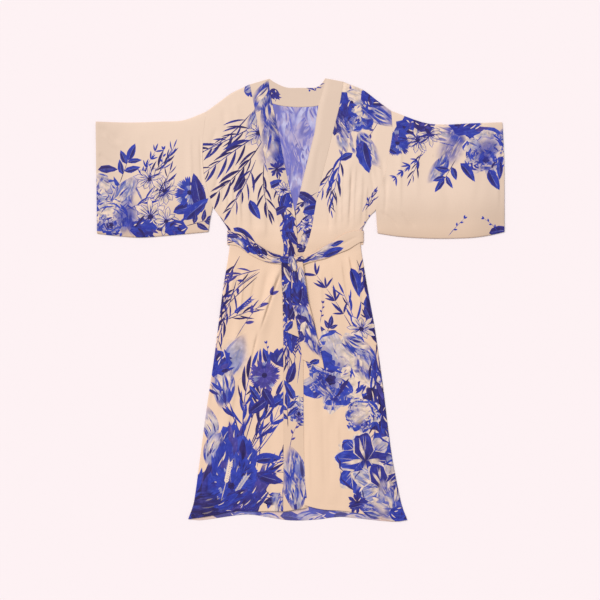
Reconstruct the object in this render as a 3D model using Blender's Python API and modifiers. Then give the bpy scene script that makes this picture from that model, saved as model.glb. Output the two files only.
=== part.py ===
"""Kimono robe laid flat with its front up, its sleeves spread and its belt tied in front.

Sizes are in millimetres in the tables and in metres in the model. +X points to the wearer's left,
+Y to the neck and +Z up. The robe rests on z = 0 and the origin is under the middle of its outline.
Right and left are the wearer's, so the right side is at -X.
"""

import math
from collections import namedtuple

import bmesh
import bpy
import numpy as np

MM = 0.001

WALL = 1.2  # every cloth wall
SEAM_GAP = 0.4  # between two pieces that are sewn side by side
PUFF = 2.6  # how much more the front stands off the back away from the outline
PUFF_REACH = 25.0  # how far in from the outline the front has risen most of that
FOLD_FADE = 10.0  # how near the outline a fold dies out
LIFT_STEP = WALL + SEAM_GAP  # what one more layer underneath adds
OVERLAP_RAMP = 24.0  # over this width the right front rises on to the left band
OVERLAP_LEAD = 1.9  # how many such widths before the left band's edge that rise begins

BELT_LOW, BELT_HIGH = 166.0, 210.0  # the belt's edges where it crosses behind the back
BELT_EASE = 16.0  # how far from the belt the back has come down to the floor again
BELT_PRESS = 30.0  # how far from its middle the belt presses the front down
BELT_HOLD = 0.9  # what share of its puff and folds the front loses under the belt
BELT_SIDE = {-1: -216.8, 1: 189.4}  # where the belt turns round the right and left sides
BELT_TURN = 3.4  # radius of that turn
BELT_GATHER = 3.2  # height of the belt's ridges where the knot draws it in
BELT_REACH = 14.0  # the belt bridges hollows narrower than about twice this

BODY_SPANS = 17  # rows of a body panel from the hem to the waist
WAIST = 60.0  # where the rows close up towards the belt
UPPER_ROWS = 9  # rows of a body panel from the underarm to the shoulder
UNDERARM = 300.0  # where the bands' rows open out again above the belt
BEND_ROWS = 8  # how many rows from the hem follow its curve
NECK_POINTS = 13
SLEEVE_STATIONS = 14  # sections of a sleeve from the cuff to the armhole
TURN_SPANS = 5  # points round a sleeve's folded edge

# The outline of one half of the robe, each line a list of (x, y).
# Side, armhole, band and sleeve_inner lines climb. Sleeve and belt lines start at the cuff and the side.
Half = namedtuple("Half", """
    side armhole shoulder hem band_seam band_edge
    sleeve_fold sleeve_seam cuff sleeve_inner belt_upper belt_lower
""")
RIGHT = Half(
    side=[(-335, -657), (-318, -606), (-300, -480), (-281, -336), (-258, -180), (-243, -66),
          (-229, 42), (-217, 114), (-211, 160), (-211, 195), (-222, 223), (-263, 282)],
    armhole=[(-263, 282), (-273, 317), (-287, 369), (-292, 420), (-291, 480), (-282, 564)],
    shoulder=[(-282, 564), (-240, 595), (-203, 621), (-150, 646)],
    hem=[(-334, -655), (-273, -646), (-199, -632), (-153, -633), (-90, -632), (-50, -633)],
    band_seam=[(-50, -633), (-49, -420), (-50, -93), (-52, 9), (-51, 114), (-49, 165), (-60, 210),
               (-79, 300), (-92, 363), (-110, 450), (-126, 528), (-150, 646)],
    band_edge=[(24, -622), (15, -540), (11, -400), (9, -120), (5, 0), (-6, 114), (-9, 200),
               (-20, 285), (-37, 360), (-53, 440), (-68, 520), (-84, 591), (-92, 663)],
    sleeve_fold=[(-612, 535), (-513, 532), (-411, 535), (-348, 539), (-282, 564)],
    sleeve_seam=[(-608, 199), (-548, 192), (-479, 187.5), (-410, 192), (-276, 204)],
    cuff=[(-608, 199), (-609, 300), (-611, 450), (-612, 535)],
    sleeve_inner=[(-276, 204), (-270, 245), (-263, 282)],
    belt_upper=[(-213, 208), (-177, 201), (-150, 183), (-121, 162), (-84, 141), (-46, 131), (-22, 127)],
    belt_lower=[(-213, 166), (-188, 162), (-166, 148), (-145, 134), (-96, 113), (-46, 108), (-22, 105)],
)
LEFT = Half(
    side=[(321, -659), (304, -612), (281, -504), (267, -414), (247, -250), (223, -82), (200, 45),
          (190, 105), (183, 150), (182, 180), (186, 211), (206, 247), (228, 273)],
    armhole=[(228, 273), (233, 300), (252, 363), (266, 437), (277, 500), (273, 567)],
    shoulder=[(273, 567), (231, 598), (189, 629), (129, 654)],
    hem=[(320, -657), (276, -661), (206, -644), (139, -632), (62, -626), (6, -612)],
    band_seam=[(6, -612), (3, -240), (0, 30), (4, 114), (26, 180), (38, 231), (53, 317), (80, 427),
               (101, 513), (118, 582), (129, 654)],
    band_edge=[(-46, -608), (-50, -240), (-52, 60), (-49, 114), (-38, 170), (-12, 276), (5, 345),
               (32, 455), (46, 513), (53, 572), (75.5, 664.5)],
    sleeve_fold=[(606, 533), (500, 529), (435, 526), (370, 532), (273, 567)],
    sleeve_seam=[(612, 204), (562, 193), (500, 186), (396, 184.5), (300, 190), (233, 200)],
    cuff=[(612, 204), (612, 305), (611, 418), (606, 533)],
    sleeve_inner=[(233, 200), (230, 240), (228, 273)],
    belt_upper=[(186, 208), (150, 204), (123, 192), (96, 173), (66, 156), (33, 137), (4, 127), (-20, 126)],
    belt_lower=[(186, 174), (171, 168), (143, 151), (94, 132), (75, 124), (25, 112), (4, 105), (-20, 104)],
)
NECK_SEAM = [(-150, 646), (-118, 609), (-85, 591), (-48, 582), (1, 579), (56, 584), (95, 605), (129, 654)]
NECK_EDGE = [(-92, 663), (-72, 650), (-40, 637), (0, 636), (46, 637), (66, 650), (75.5, 664.5)]
HEM_BACK = [(-335, -657), (-300, -660), (-237, -652), (-156, -643), (-72, -655), (-22, -661),
            (52, -658), (117, -650), (177, -655), (276, -664.5), (321, -659)]

# The two edges of each of the belt's tails, from the knot down
TAIL_OVER_LEFT = [(10, 99), (16, 60), (26, -8), (40, -60), (53, -117), (66, -172), (72, -206)]
TAIL_OVER_RIGHT = [(-22, 99), (-25, 60), (-25, 0), (-16, -40), (-2, -117), (3, -150), (7, -178)]
TAIL_UNDER_LEFT = [(-24, 99), (-16, 60), (-8, 0), (-3, -60), (-1, -112)]
TAIL_UNDER_RIGHT = [(-56, 99), (-55, 60), (-52, 9), (-51, -40), (-50, -92)]

KNOT_CENTRE = (-24.0, 114.0)
KNOT_HALF = (37.0, 23.0)  # half its length and width
KNOT_TURN = math.radians(-34)
KNOT_RISE = 10.0  # from its flat underside to its top
KNOT_PLEATS = 3  # ridges that run along it
KNOT_GROOVE = 0.3  # how deep the grooves between them are, as a share of its height

# Each fold is a soft ridge from one end to the other, with its half width at each end and its height.
Fold = namedtuple("Fold", "x0 y0 x1 y1 spread0 spread1 height")
FOLDS = [
    # right front, above the belt
    Fold(-186, 218, -196, 372, 7, 13, 3.2),
    Fold(-158, 205, -168, 330, 7, 12, 2.6),
    Fold(-204, 226, -236, 290, 7, 10, 2.2),
    Fold(-120, 190, -122, 318, 9, 16, 1.8),
    # right front, below the belt
    Fold(-64, 92, -108, -66, 8, 13, 4.0),
    Fold(-108, -66, -150, -290, 13, 20, 3.4),
    Fold(-112, 88, -146, -96, 9, 15, 2.6),
    Fold(-160, 96, -192, -150, 8, 15, 3.2),
    Fold(-194, 118, -232, -100, 8, 13, 2.6),
    Fold(-204, -240, -248, -470, 13, 18, 3.0),
    Fold(-178, -300, -206, -560, 13, 19, 3.4),
    Fold(-230, -400, -278, -612, 14, 18, 2.8),
    Fold(-112, -380, -116, -622, 16, 22, 2.6),
    # left front, above the belt
    Fold(150, 411, 155, 226, 13, 7, 3.2),
    Fold(128, 375, 132, 222, 12, 7, 2.6),
    Fold(184, 335, 172, 226, 11, 7, 2.8),
    Fold(96, 340, 104, 205, 14, 9, 1.8),
    # left front, below the belt
    Fold(152, 136, 168, -100, 7, 14, 3.2),
    Fold(106, 112, 116, -110, 9, 16, 2.2),
    Fold(172, 128, 206, -130, 8, 13, 2.6),
    Fold(74, 96, 92, -140, 9, 16, 2.0),
    Fold(40, -300, 42, -600, 14, 19, 2.8),
    Fold(84, -330, 88, -612, 14, 19, 3.2),
    Fold(132, -350, 142, -616, 15, 19, 2.8),
    Fold(186, -290, 216, -624, 15, 20, 3.2),
    Fold(226, -240, 266, -600, 14, 19, 2.8),
    # sleeves
    Fold(-584, 520, -500, 446, 8, 14, 0.9),
    Fold(-470, 490, -486, 236, 20, 24, 0.8),
    Fold(-372, 470, -352, 246, 18, 22, 0.9),
    Fold(-318, 440, -306, 262, 12, 16, 0.9),
    Fold(512, 480, 534, 236, 20, 24, 0.8),
    Fold(420, 470, 404, 240, 20, 24, 0.9),
    Fold(330, 480, 318, 250, 16, 20, 0.9),
    Fold(286, 430, 266, 262, 12, 16, 0.9),
    # shoulders
    Fold(-214, 560, -196, 440, 14, 18, 1.6),
    Fold(204, 556, 190, 440, 14, 18, 1.6),
]

COLOURS = {  # seen outside on the printed cloth, and inside on the back
    "peach": (0.80, 0.60, 0.47),
    "blue": (0.09, 0.11, 0.42),
    "lilac": (0.42, 0.38, 0.62),
}


# Curves

def smooth(points, steps=8):
    """Points on a Catmull-Rom curve through the given ones, with steps spans between each two."""
    p = np.array(points, float)
    p = np.vstack([2 * p[0] - p[1], p, 2 * p[-1] - p[-2]])
    t = np.linspace(0, 1, steps, endpoint=False)[:, None]
    spans = [
        0.5 * (2 * b + (c - a) * t + (2 * a - 5 * b + 4 * c - d) * t**2 + (3 * b - a - 3 * c + d) * t**3)
        for a, b, c, d in zip(p, p[1:], p[2:], p[3:])
    ]
    return np.vstack(spans + [p[-2:-1]])


def spaced(points, count):
    """count points at even steps along the curve."""
    line = smooth(points)
    along = np.concatenate([[0], np.cumsum(np.linalg.norm(np.diff(line, axis=0), axis=1))])
    at = np.linspace(0, along[-1], count)
    return np.stack([np.interp(at, along, line[:, k]) for k in (0, 1)], axis=1)


def at_heights(points, ys):
    """The curve's points at these y values. The curve only climbs."""
    line = smooth(points)
    return np.stack([np.interp(ys, line[:, 1], line[:, 0]), ys], axis=1)


def side_at(points, y):
    """The x of a climbing curve at y, held beyond its ends."""
    line = smooth(points)
    return np.interp(y, line[:, 1], line[:, 0])


def shifted(points, dx):
    return [(x + dx, y) for x, y in points]


def distance_to(line, x, y):
    """How far each (x, y) is from the polyline."""
    best = np.full(np.shape(x), np.inf)
    for (ax, ay), (bx, by) in zip(line, line[1:]):
        dx, dy = bx - ax, by - ay
        t = np.clip(((x - ax) * dx + (y - ay) * dy) / max(dx * dx + dy * dy, 1e-9), 0, 1)
        best = np.minimum(best, np.hypot(x - ax - t * dx, y - ay - t * dy))
    return best


def ease(t):
    """0 below 0, 1 above 1 and smooth between."""
    t = np.clip(t, 0, 1)
    return t * t * (3 - 2 * t)


# Heights. Each gives the underside of a wall in millimetres at (x, y).

def edge_up(half):
    """The outline of one half from the hem, round the sleeve, to the neck."""
    return np.vstack([
        smooth(half.side, 3), smooth(half.sleeve_inner, 2)[::-1], smooth(half.sleeve_seam, 2)[::-1],
        smooth(half.cuff, 2), smooth(half.sleeve_fold, 3), smooth(half.shoulder, 2), half.band_edge[-1:],
    ])


def middle(half):
    """The middle of the belt's stretch, from the side to the knot."""
    return (spaced(half.belt_upper, 8) + spaced(half.belt_lower, 8)) / 2


OUTLINE = np.vstack([edge_up(RIGHT)[::-1], smooth(HEM_BACK, 2), edge_up(LEFT)])
BELT_LINE = np.vstack([middle(RIGHT), middle(LEFT)[::-1]])


def back_under(x, y):
    """The back lies on the floor and steps over the belt that crosses behind it."""
    over = ease((y - BELT_LOW) / BELT_EASE + 1) * ease((BELT_HIGH - y) / BELT_EASE + 1)
    return LIFT_STEP * over + 0 * x


def front_under(x, y):
    """The upper layer, fronts and sleeves alike: close to the back round the outline and under the belt."""
    edge = distance_to(OUTLINE, x, y)
    free = 1 - BELT_HOLD * np.exp(-(distance_to(BELT_LINE, x, y) / BELT_PRESS) ** 2)
    rise = PUFF * (1 - np.exp(-edge / PUFF_REACH))
    for f in FOLDS:
        dx, dy = f.x1 - f.x0, f.y1 - f.y0
        t = np.clip(((x - f.x0) * dx + (y - f.y0) * dy) / (dx * dx + dy * dy), 0, 1)
        away = np.hypot(x - f.x0 - t * dx, y - f.y0 - t * dy)
        spread = f.spread0 + t * (f.spread1 - f.spread0)
        rise = rise + f.height * np.exp(-(away / spread) ** 2) * (1 - np.exp(-edge / FOLD_FADE))
    return back_under(x, y) + LIFT_STEP + rise * free


def over_under(x, y):
    """The right front and its band, which rise one step where the left band runs below them."""
    past = x - side_at(LEFT.band_edge, y)
    return front_under(x, y) + (LIFT_STEP + SEAM_GAP) * ease(past / OVERLAP_RAMP + OVERLAP_LEAD)


def topmost(x, y):
    """The top of whatever front lies uppermost."""
    on_right = x < side_at(RIGHT.band_edge, y) + BELT_REACH
    return np.where(on_right, over_under(x, y), front_under(x, y)) + WALL


def bridged(x, y):
    """The highest that the fronts come within BELT_REACH of each point."""
    turns = [(0, 0)] + [(BELT_REACH * math.cos(a), BELT_REACH * math.sin(a))
                        for a in np.linspace(0, 2 * math.pi, 8, endpoint=False)]
    return np.max([topmost(x + dx, y + dy) for dx, dy in turns], axis=0)


# Meshes

def node(name, mesh, colour):
    """A named object of this mesh, in the cloth of this colour."""
    thing = bpy.data.objects.new(name, mesh)
    ROBE.objects.link(thing)
    material = bpy.data.materials.get(colour) or bpy.data.materials.new(colour)
    material.use_nodes = True
    shader = material.node_tree.nodes["Principled BSDF"]
    shader.inputs["Base Color"].default_value = (*COLOURS[colour], 1)
    shader.inputs["Roughness"].default_value = 0.55
    shader.inputs["Metallic"].default_value = 0.0
    mesh.materials.append(material)
    return thing


def put(name, points, faces, colour, offset=1.0):
    """A node from an open surface in millimetres, with its wall raised from it."""
    mesh = bpy.data.meshes.new(name)
    mesh.from_pydata([tuple(c * MM for c in p) for p in points], [], faces)
    mesh.shade_smooth()
    wall = node(name, mesh, colour).modifiers.new("wall", "SOLIDIFY")
    wall.thickness = WALL * MM
    wall.offset = offset


def grid_faces(rows, columns, closed=False):
    """Quads over a grid of points, joined round if closed."""
    across = range(columns if closed else columns - 1)
    return [
        (r * columns + c, r * columns + (c + 1) % columns,
         (r + 1) * columns + (c + 1) % columns, (r + 1) * columns + c)
        for r in range(rows - 1) for c in across
    ]


def facing_up(faces, points):
    """The faces turned so that they look up."""
    a, b, c = (points[faces[0][k]] for k in (0, 1, 2))
    up = (b[0] - a[0]) * (c[1] - a[1]) - (b[1] - a[1]) * (c[0] - a[0])
    return faces if up > 0 else [f[::-1] for f in faces]


def ruled(first, second, start, end, start_rows, end_rows):
    """Rows of points from the first side to the second, bent near each end to the start and end curves."""
    rows, columns = len(first), len(start)
    u = np.linspace(0, 1, columns)[None, :, None]
    grid = first[:, None] * (1 - u) + second[:, None] * u
    for curve, row, reach in ((start, 0, start_rows), (end, rows - 1, end_rows)):
        corners = (grid[row, 0] - curve[0]) * (1 - u[0]) + (grid[row, -1] - curve[-1]) * u[0]
        bend = curve + corners - grid[row]
        for r in range(rows):
            grid[r] += bend * max(0.0, 1 - abs(r - row) / reach)
    return grid


def sheet(name, grid, under, colour):
    """A panel: its grid of plan points raised to the height that under gives."""
    flat = grid.reshape(-1, 2)
    z = under(flat[:, 0], flat[:, 1])
    points = np.column_stack([flat, z])
    put(name, points, facing_up(grid_faces(*grid.shape[:2]), points), colour)


def levels(*stops):
    """Heights through named stops: (y, spans up to the next), and the last y."""
    ys = [np.linspace(a[0], b[0], a[1], endpoint=False) for a, b in zip(stops, stops[1:])]
    return np.concatenate(ys + [[stops[-1][0]]])


def body_levels(line, underarm, top):
    """The rows of a body panel up a line: close together round the belt, whose edges each have one."""
    return levels((line[0][1], BODY_SPANS), (WAIST, 5), (BELT_LOW - BELT_EASE, 1), (BELT_LOW, 2),
                  (BELT_HIGH, 1), (BELT_HIGH + BELT_EASE, 2), (underarm, UPPER_ROWS), (top, 0))


def outward(half):
    """The sign of X away from the middle of the robe."""
    return math.copysign(1, half.cuff[0][0])


def armhole_points(half, away):
    """The rows' ends up the armhole, moved this far from the middle of the robe."""
    ys = np.linspace(half.armhole[0][1], half.armhole[-1][1], UPPER_ROWS + 1)
    return at_heights(shifted(half.armhole, away * outward(half)), ys)


def outer_side(half):
    """The rows' ends up a body panel's side seam and armhole."""
    ys = body_levels(half.side, half.side[-1][1], half.armhole[-1][1])[:-UPPER_ROWS - 1]
    return np.vstack([at_heights(half.side, ys), armhole_points(half, -SEAM_GAP / 2)])


def climb(line):
    """The rows' ends up a front band's seam or edge."""
    return at_heights(line, body_levels(line, UNDERARM, line[-1][1]))


# The pieces

def back():
    neck = spaced(NECK_SEAM, NECK_POINTS)
    neck[:, 1] -= 2 * SEAM_GAP
    top = np.vstack([spaced(RIGHT.shoulder, 5)[:-1], neck, spaced(LEFT.shoulder, 5)[::-1][1:]])
    hem = spaced(HEM_BACK, len(top))
    grid = ruled(outer_side(RIGHT), outer_side(LEFT), hem, top, BEND_ROWS, UPPER_ROWS)
    sheet("back", grid, back_under, "lilac")


def front(name, half, under, columns=14):
    """A front panel, from its side seam and armhole to the seam of its band."""
    seam = climb(shifted(half.band_seam, SEAM_GAP * outward(half)))
    hem, shoulder = spaced(half.hem, columns), spaced(half.shoulder, columns)
    sheet(name, ruled(outer_side(half), seam, hem, shoulder, BEND_ROWS, UPPER_ROWS), under, "peach")


def band(name, half, under, colour, columns=5):
    """A front band, from the seam to the free edge."""
    seam, edge = climb(half.band_seam), climb(half.band_edge)
    hem, top = (np.linspace(seam[end], edge[end], columns) for end in (0, -1))
    sheet(name, ruled(seam, edge, hem, top, 1, 1), under, colour)


def neck_band(rows=4):
    """The band behind the neck, whose ends lie below the tops of the front bands."""
    right, left = (np.linspace(NECK_SEAM[end], NECK_EDGE[end], rows) for end in (0, -1))
    seam, edge = spaced(NECK_SEAM, NECK_POINTS), spaced(NECK_EDGE, NECK_POINTS)
    sheet("band_neck", ruled(right, left, seam, edge, rows - 1, rows - 1), lambda x, y: 0 * x, "peach")


def turned(end, toward, low, high):
    """The folded edge of a sleeve at one section, from the upper layer's height to the lower one's."""
    into = (toward - end) / np.linalg.norm(toward - end)
    radius = (high - low) / 2
    arc = []
    for angle in np.linspace(math.pi / 2, -math.pi / 2, TURN_SPANS):
        x, y = end + into * (WALL / 2 + radius * (1 - math.cos(angle)))
        arc.append((x, y, low + radius * (1 + math.sin(angle))))
    return arc


def sleeve(name, half):
    """A wide sleeve lying flat: a tube with an upper and a lower layer, open at the cuff and the armhole."""
    away = SEAM_GAP / 2
    inner = spaced(shifted(half.sleeve_inner, away * outward(half)), 4)
    arm = np.vstack([inner[:-1], armhole_points(half, away)])
    seam, fold = spaced(half.sleeve_seam, SLEEVE_STATIONS), spaced(half.sleeve_fold, SLEEVE_STATIONS)
    plan = ruled(spaced(half.cuff, len(arm)), arm, seam, fold, len(arm) - 1, len(arm) - 1)
    low = WALL / 2
    points = []
    for line in plan.transpose(1, 0, 2):
        high = front_under(line[:, 0], line[:, 1]) + low
        points += turned(line[-1], line[-2], low, high[-1])
        points += [(x, y, low) for x, y in line[-2:0:-1]]
        points += turned(line[0], line[1], low, high[0])[::-1]
        points += [(x, y, z) for (x, y), z in zip(line[1:-1], high[1:-1])]
    faces = grid_faces(SLEEVE_STATIONS, len(points) // SLEEVE_STATIONS, closed=True)
    if half is LEFT:
        faces = [f[::-1] for f in faces]
    put(name, points, faces, "peach", offset=0.0)


def belt_grid(edge, other_edge, rows, columns):
    """Plan points between the two edges of a stretch of belt, and how far along and across each is."""
    across = np.linspace(0, 1, columns)[None, :, None]
    grid = spaced(edge, rows)[:, None] * (1 - across) + spaced(other_edge, rows)[:, None] * across
    along, across = np.meshgrid(np.linspace(0, 1, rows), across.ravel(), indexing="ij")
    return grid, along, across


def gathered(grid, across, height):
    """Heights for a stretch of belt that lies on the fronts, with two lengthwise ridges this high."""
    ridges = 0.5 - 0.5 * np.cos(2 * math.pi * 2 * across)
    return bridged(grid[..., 0], grid[..., 1]) + 1.5 * SEAM_GAP + height * ridges


def belt_stretch(name, half):
    """The belt from one side of the waist to the knot. Its outer end turns down round the side."""
    side = outward(half)
    grid, along, across = belt_grid(half.belt_upper, half.belt_lower, 17, 9)
    z = gathered(grid, across, BELT_GATHER * ease(along * 1.6))
    z[0] = z[0].max()
    face = BELT_SIDE[side] - side * WALL
    ys, top = grid[0, :, 1], z[0, 0]
    grid[0, :, 0] = face - side * (BELT_TURN + WALL)
    turn = [[(face, y, LIFT_STEP) for y in ys]]
    for angle in np.linspace(0, math.pi / 2, 4):
        x = face - side * BELT_TURN * (1 - math.cos(angle))
        turn.append([(x, y, top - BELT_TURN * (1 - math.sin(angle))) for y in ys])
    return lay(name, np.concatenate([turn, np.dstack([grid, z])]))


def lay(name, rows):
    """A stretch of belt from rows of points. Gives the points back."""
    points = rows.reshape(-1, 3)
    faces = grid_faces(*rows.shape[:2])
    put(name, points, facing_up(faces[::-1], points), "blue")
    return points


def belt():
    """The belt's flat stretches. Gives back the points of those that the knot sits on."""
    behind = [[(x, y, 0.0) for y in np.linspace(BELT_LOW, BELT_HIGH, 3)]
              for x in np.linspace(BELT_SIDE[-1], BELT_SIDE[1], 9)]
    lay("belt_behind", np.array(behind))

    grid, along, across = belt_grid(TAIL_UNDER_RIGHT, TAIL_UNDER_LEFT, 9, 5)
    gather = LIFT_STEP * (1 - ease(along * 2.5))
    under = lay("tail_under", np.dstack([grid, gathered(grid, across, gather)]))

    grid, along, across = belt_grid(TAIL_OVER_RIGHT, TAIL_OVER_LEFT, 15, 5)
    gather = LIFT_STEP * (1 - ease(along * 2.5))
    on_other_tail = 1 - ease(along * 6 - 4.6)
    near_knot = 1 - ease(along * 1.8 - 0.4)
    z = gathered(grid, across, gather) + LIFT_STEP * (on_other_tail + near_knot)
    over = lay("tail_over", np.dstack([grid, z]))
    return np.vstack([belt_stretch("belt_right", RIGHT), belt_stretch("belt_left", LEFT), under, over])


def knot(belt_points):
    """The knot: the belt wrapped once round itself, a soft pleated lump with a flat underside."""
    half_long, half_wide = KNOT_HALF
    cx, cy = KNOT_CENTRE
    c, s = math.cos(KNOT_TURN), math.sin(KNOT_TURN)
    below = np.hypot(belt_points[:, 0] - cx, belt_points[:, 1] - cy) < half_long
    base = belt_points[below, 2].max() + WALL + SEAM_GAP
    bm = bmesh.new()
    bmesh.ops.create_uvsphere(bm, u_segments=32, v_segments=14, radius=1.0)
    for v in bm.verts:
        a, b, up = v.co
        pleats = 1 - KNOT_GROOVE * (0.5 + 0.5 * math.cos(2 * math.pi * KNOT_PLEATS * (b + 1) / 2))
        along = a * half_long * (1 - 0.15 * b * b)
        wide = b * half_wide * (1 + 0.16 * a * a)
        rise = KNOT_RISE * pleats * max(up, 0.0) ** 0.7
        v.co = ((cx + c * along - s * wide) * MM, (cy + s * along + c * wide) * MM, (base + rise) * MM)
    mesh = bpy.data.meshes.new("knot")
    bm.to_mesh(mesh)
    bm.free()
    mesh.shade_smooth()
    node("knot", mesh, "blue")


for thing in list(bpy.data.objects):
    bpy.data.objects.remove(thing)
ROBE = bpy.data.collections.new("kimono_robe")
bpy.context.scene.collection.children.link(ROBE)

back()
front("front_left", LEFT, front_under)
front("front_right", RIGHT, over_under)
band("band_left", LEFT, front_under, "peach")
band("band_right", RIGHT, over_under, "blue")
neck_band()
sleeve("sleeve_right", RIGHT)
sleeve("sleeve_left", LEFT)
knot(belt())
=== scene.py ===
import math
import random
from collections import namedtuple

import bmesh
import bpy
import numpy as np
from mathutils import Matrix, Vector, geometry
from mathutils.bvhtree import BVHTree
from mathutils.kdtree import KDTree


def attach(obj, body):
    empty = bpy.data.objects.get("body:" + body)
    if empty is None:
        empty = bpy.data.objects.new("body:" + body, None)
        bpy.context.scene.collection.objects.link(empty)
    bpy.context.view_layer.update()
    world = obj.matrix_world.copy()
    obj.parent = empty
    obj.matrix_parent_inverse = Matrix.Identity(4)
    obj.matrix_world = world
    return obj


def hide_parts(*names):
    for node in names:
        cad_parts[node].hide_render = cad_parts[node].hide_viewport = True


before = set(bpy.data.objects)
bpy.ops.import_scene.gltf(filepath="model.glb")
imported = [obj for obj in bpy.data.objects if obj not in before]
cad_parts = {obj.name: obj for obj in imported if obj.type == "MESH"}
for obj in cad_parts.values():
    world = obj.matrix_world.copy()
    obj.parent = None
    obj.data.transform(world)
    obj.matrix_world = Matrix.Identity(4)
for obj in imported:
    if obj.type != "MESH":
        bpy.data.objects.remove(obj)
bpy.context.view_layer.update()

# Kimono robe laid flat with its front up. Tables are in millimetres, meshes in metres. +X is the wearer's
# left, +Y the neck and +Z up. Right and left are the wearer's. Each piece is a thin cloth cut along the edges
# of its printed shapes, so the print is part of the mesh, and its height is read from the frame's node.

MM = 0.001

CLOTH = 0.5  # thickness of the woven cloth
DOUBLE = 0.9  # thickness of a band or belt that is folded double
MESH_STEP = 6.5  # spacing of a panel's points
BACK_STEP = 12.0  # of the back's, most of which is hidden
BELT_STEP = 4.0  # of the belt's,
BELT_EDGE_STEP = 2.0  # of those along its long edges
KNOT_STEP = 2.0  # and of the knot's
EDGE_STEP = 4.0  # spacing along an outline
EDGE_ROWS = (0.7, 1.8, 3.2)  # rows of points this far inside the outline, for its rolled edge
KNOT_ROWS = (0.4, 1.0, 2.0, 3.2)
HEM_ROWS = (9.6, 11.0, 12.4)  # rows beside the stitching of a turned hem
CORNER_TURN = math.radians(32)  # an outline that turns by more than this has a corner
WELD = 0.45  # points closer than this are made one,
THINNEST = 0.002  # where it leaves no triangle with a smaller double area
SAME_CUT = 1e-4  # points of the print's outlines this close are one from the start
TRIANGLE_HIGH = 0.866  # height of a triangle with equal sides of 1
EVENED_BELOW = (0, 6, 12, 18, 24)  # stretch over which the height of the layers below is evened out
LAYER_REACH = 1.0  # a layer is below the points that are over it or this close

SEAM_MEET = 0.28  # how far the pieces reach over the frame's gap at a seam
SLEEVE_MEET = 0.6
SEAM_DIP = 0.18  # how far the cloth's edge dips where it is sewn or rolled
SEAM_DIP_WIDTH = 1.2
HEM_WIDTH = 11.0
HEM_RISE = 0.35  # how much the turned hem raises the cloth
HEM_STEP = 1.4  # width of the step down from it
HEM_STITCH_IN = 1.0  # distance of its stitching from that step
HEM_DENT = 0.3  # depth of the dent of its stitching
HEM_DENT_WIDTH = 0.9
CLOSED_WIDTH = 3.0  # width of the rounded edge where the front is sewn to the back
CLOSED_HEIGHT = 1.05  # its height at the very edge
CLOSED_SLEEVE = (3.0, 10.0)  # how far from a sleeve the rounding starts, and how soon it is full
CLOSED_HEM = (6.0, 20.0)  # and from the hem
EDGE_REST = 9.0  # width over which a band's free edge comes down to rest on the layer below
REST_GAP = 0.12
BAND_CREASE = 0.6  # how much of the creases a double band shows
BAND_STITCH = 1.8  # distance of the stitches from the edge of a band or belt
BACK_LOWERED = 0.7  # the back lies this much lower than in the frame, thin on the table
BEHIND_LOWERED = 0.25  # and the belt behind it this much
FOLD_MIDDLE = 1.4  # height at which a sleeve's two layers meet
FOLD_ROUND = 2.4  # width of the rounding there
FOLD_JOIN = 0.03  # points of the two layers this close are one
SLEEVE_CREASED = 6.0  # a sleeve's creases come in over this width from its edge
FLOOR_GAP = 0.02

BELT_WIDE = 51.0  # flat width of the belt
BELT_OUT = 2.0  # how far the belt bulges where it turns round the side
BELT_TURN = 8.0  # length of cloth in that turn
BELT_FOOT = 0.95  # its height where it goes behind the back
KNOT_AT = (-24.0, 114.0)
TAIL_TUCK = 15.0  # how far a tail reaches up below the knot

EXPOSURE = 1.056  # how bright the studio light shows a colour


def rgb(red, green, blue):
    """The colour that looks like this, from 0 to 255, in the studio light."""
    return tuple(((c / 255 + 0.055) / 1.055) ** 2.4 / EXPOSURE for c in (red, green, blue))


# Inks. A printed shape goes from its root's to its tip's colour, with brush marks of the lift colour.
Ink = namedtuple("Ink", "root tip lift marks")
INKS = {
    "royal": Ink(rgb(44, 50, 150), rgb(52, 66, 172), rgb(84, 98, 190), 0.45),
    "indigo": Ink(rgb(50, 40, 112), rgb(52, 54, 150), rgb(72, 80, 172), 0.4),
    "night": Ink(rgb(44, 32, 82), rgb(54, 42, 114), rgb(56, 58, 150), 0.45),
    "violet": Ink(rgb(62, 52, 128), rgb(80, 70, 158), rgb(112, 104, 180), 0.45),
    "sky": Ink(rgb(52, 70, 168), rgb(150, 150, 190), rgb(226, 206, 190), 0.75),
    "petal": Ink(rgb(66, 78, 168), rgb(234, 210, 190), rgb(134, 138, 184), 0.6),
    "mist": Ink(rgb(150, 150, 186), rgb(232, 209, 190), rgb(120, 128, 184), 0.6),
    "cream": Ink(rgb(232, 207, 186), rgb(238, 211, 190), rgb(158, 156, 186), 0.5),
    "chalk": Ink(rgb(255, 250, 246), rgb(255, 252, 250), rgb(206, 200, 226), 0.5),
    "smear": Ink(rgb(44, 58, 158), rgb(64, 80, 176), rgb(232, 206, 186), 0.8),
}
UPPER_GROUND = rgb(236, 209, 189)
LOWER_GROUND = rgb(238, 204, 177)
GROUND_TURN = (340.0, 100.0)  # the ground goes from the one to the other between these y
GROUND_LIFT = 0.96  # tone of the ground's own lift colour
TONES = {"band_left": 0.9, "band_neck": 0.89, "band_right": 0.93, "belt_left": 0.95, "belt_right": 0.95,
         "tail_over": 0.96, "tail_under": 0.94, "knot": 0.95}
CUFF_PAINTED_SHADE, CUFF_SHADE_FROM, CUFF_SHADE_OVER = 0.1, 470.0, 130.0  # painted shade: a sleeve darkens towards its cuff, where the studio light falls off
SEAM_PAINTED_SHADE, SEAM_SHADE_FROM, SEAM_SHADE_OVER = 0.11, 340.0, 100.0  # and painted shade towards its lower seam
WRONG_PALE = rgb(148, 143, 214)  # colour in which the print fades on the wrong side
WRONG_SIDE_PALE = 0.58  # how far it fades
HEM_PALE = 0.2  # and how far at the turned hem
HEM_PALE_FROM, HEM_PALE_OVER = -650.0, 60.0
MARK_SCALE = 0.1  # the print's own map is in centimetres

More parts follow.
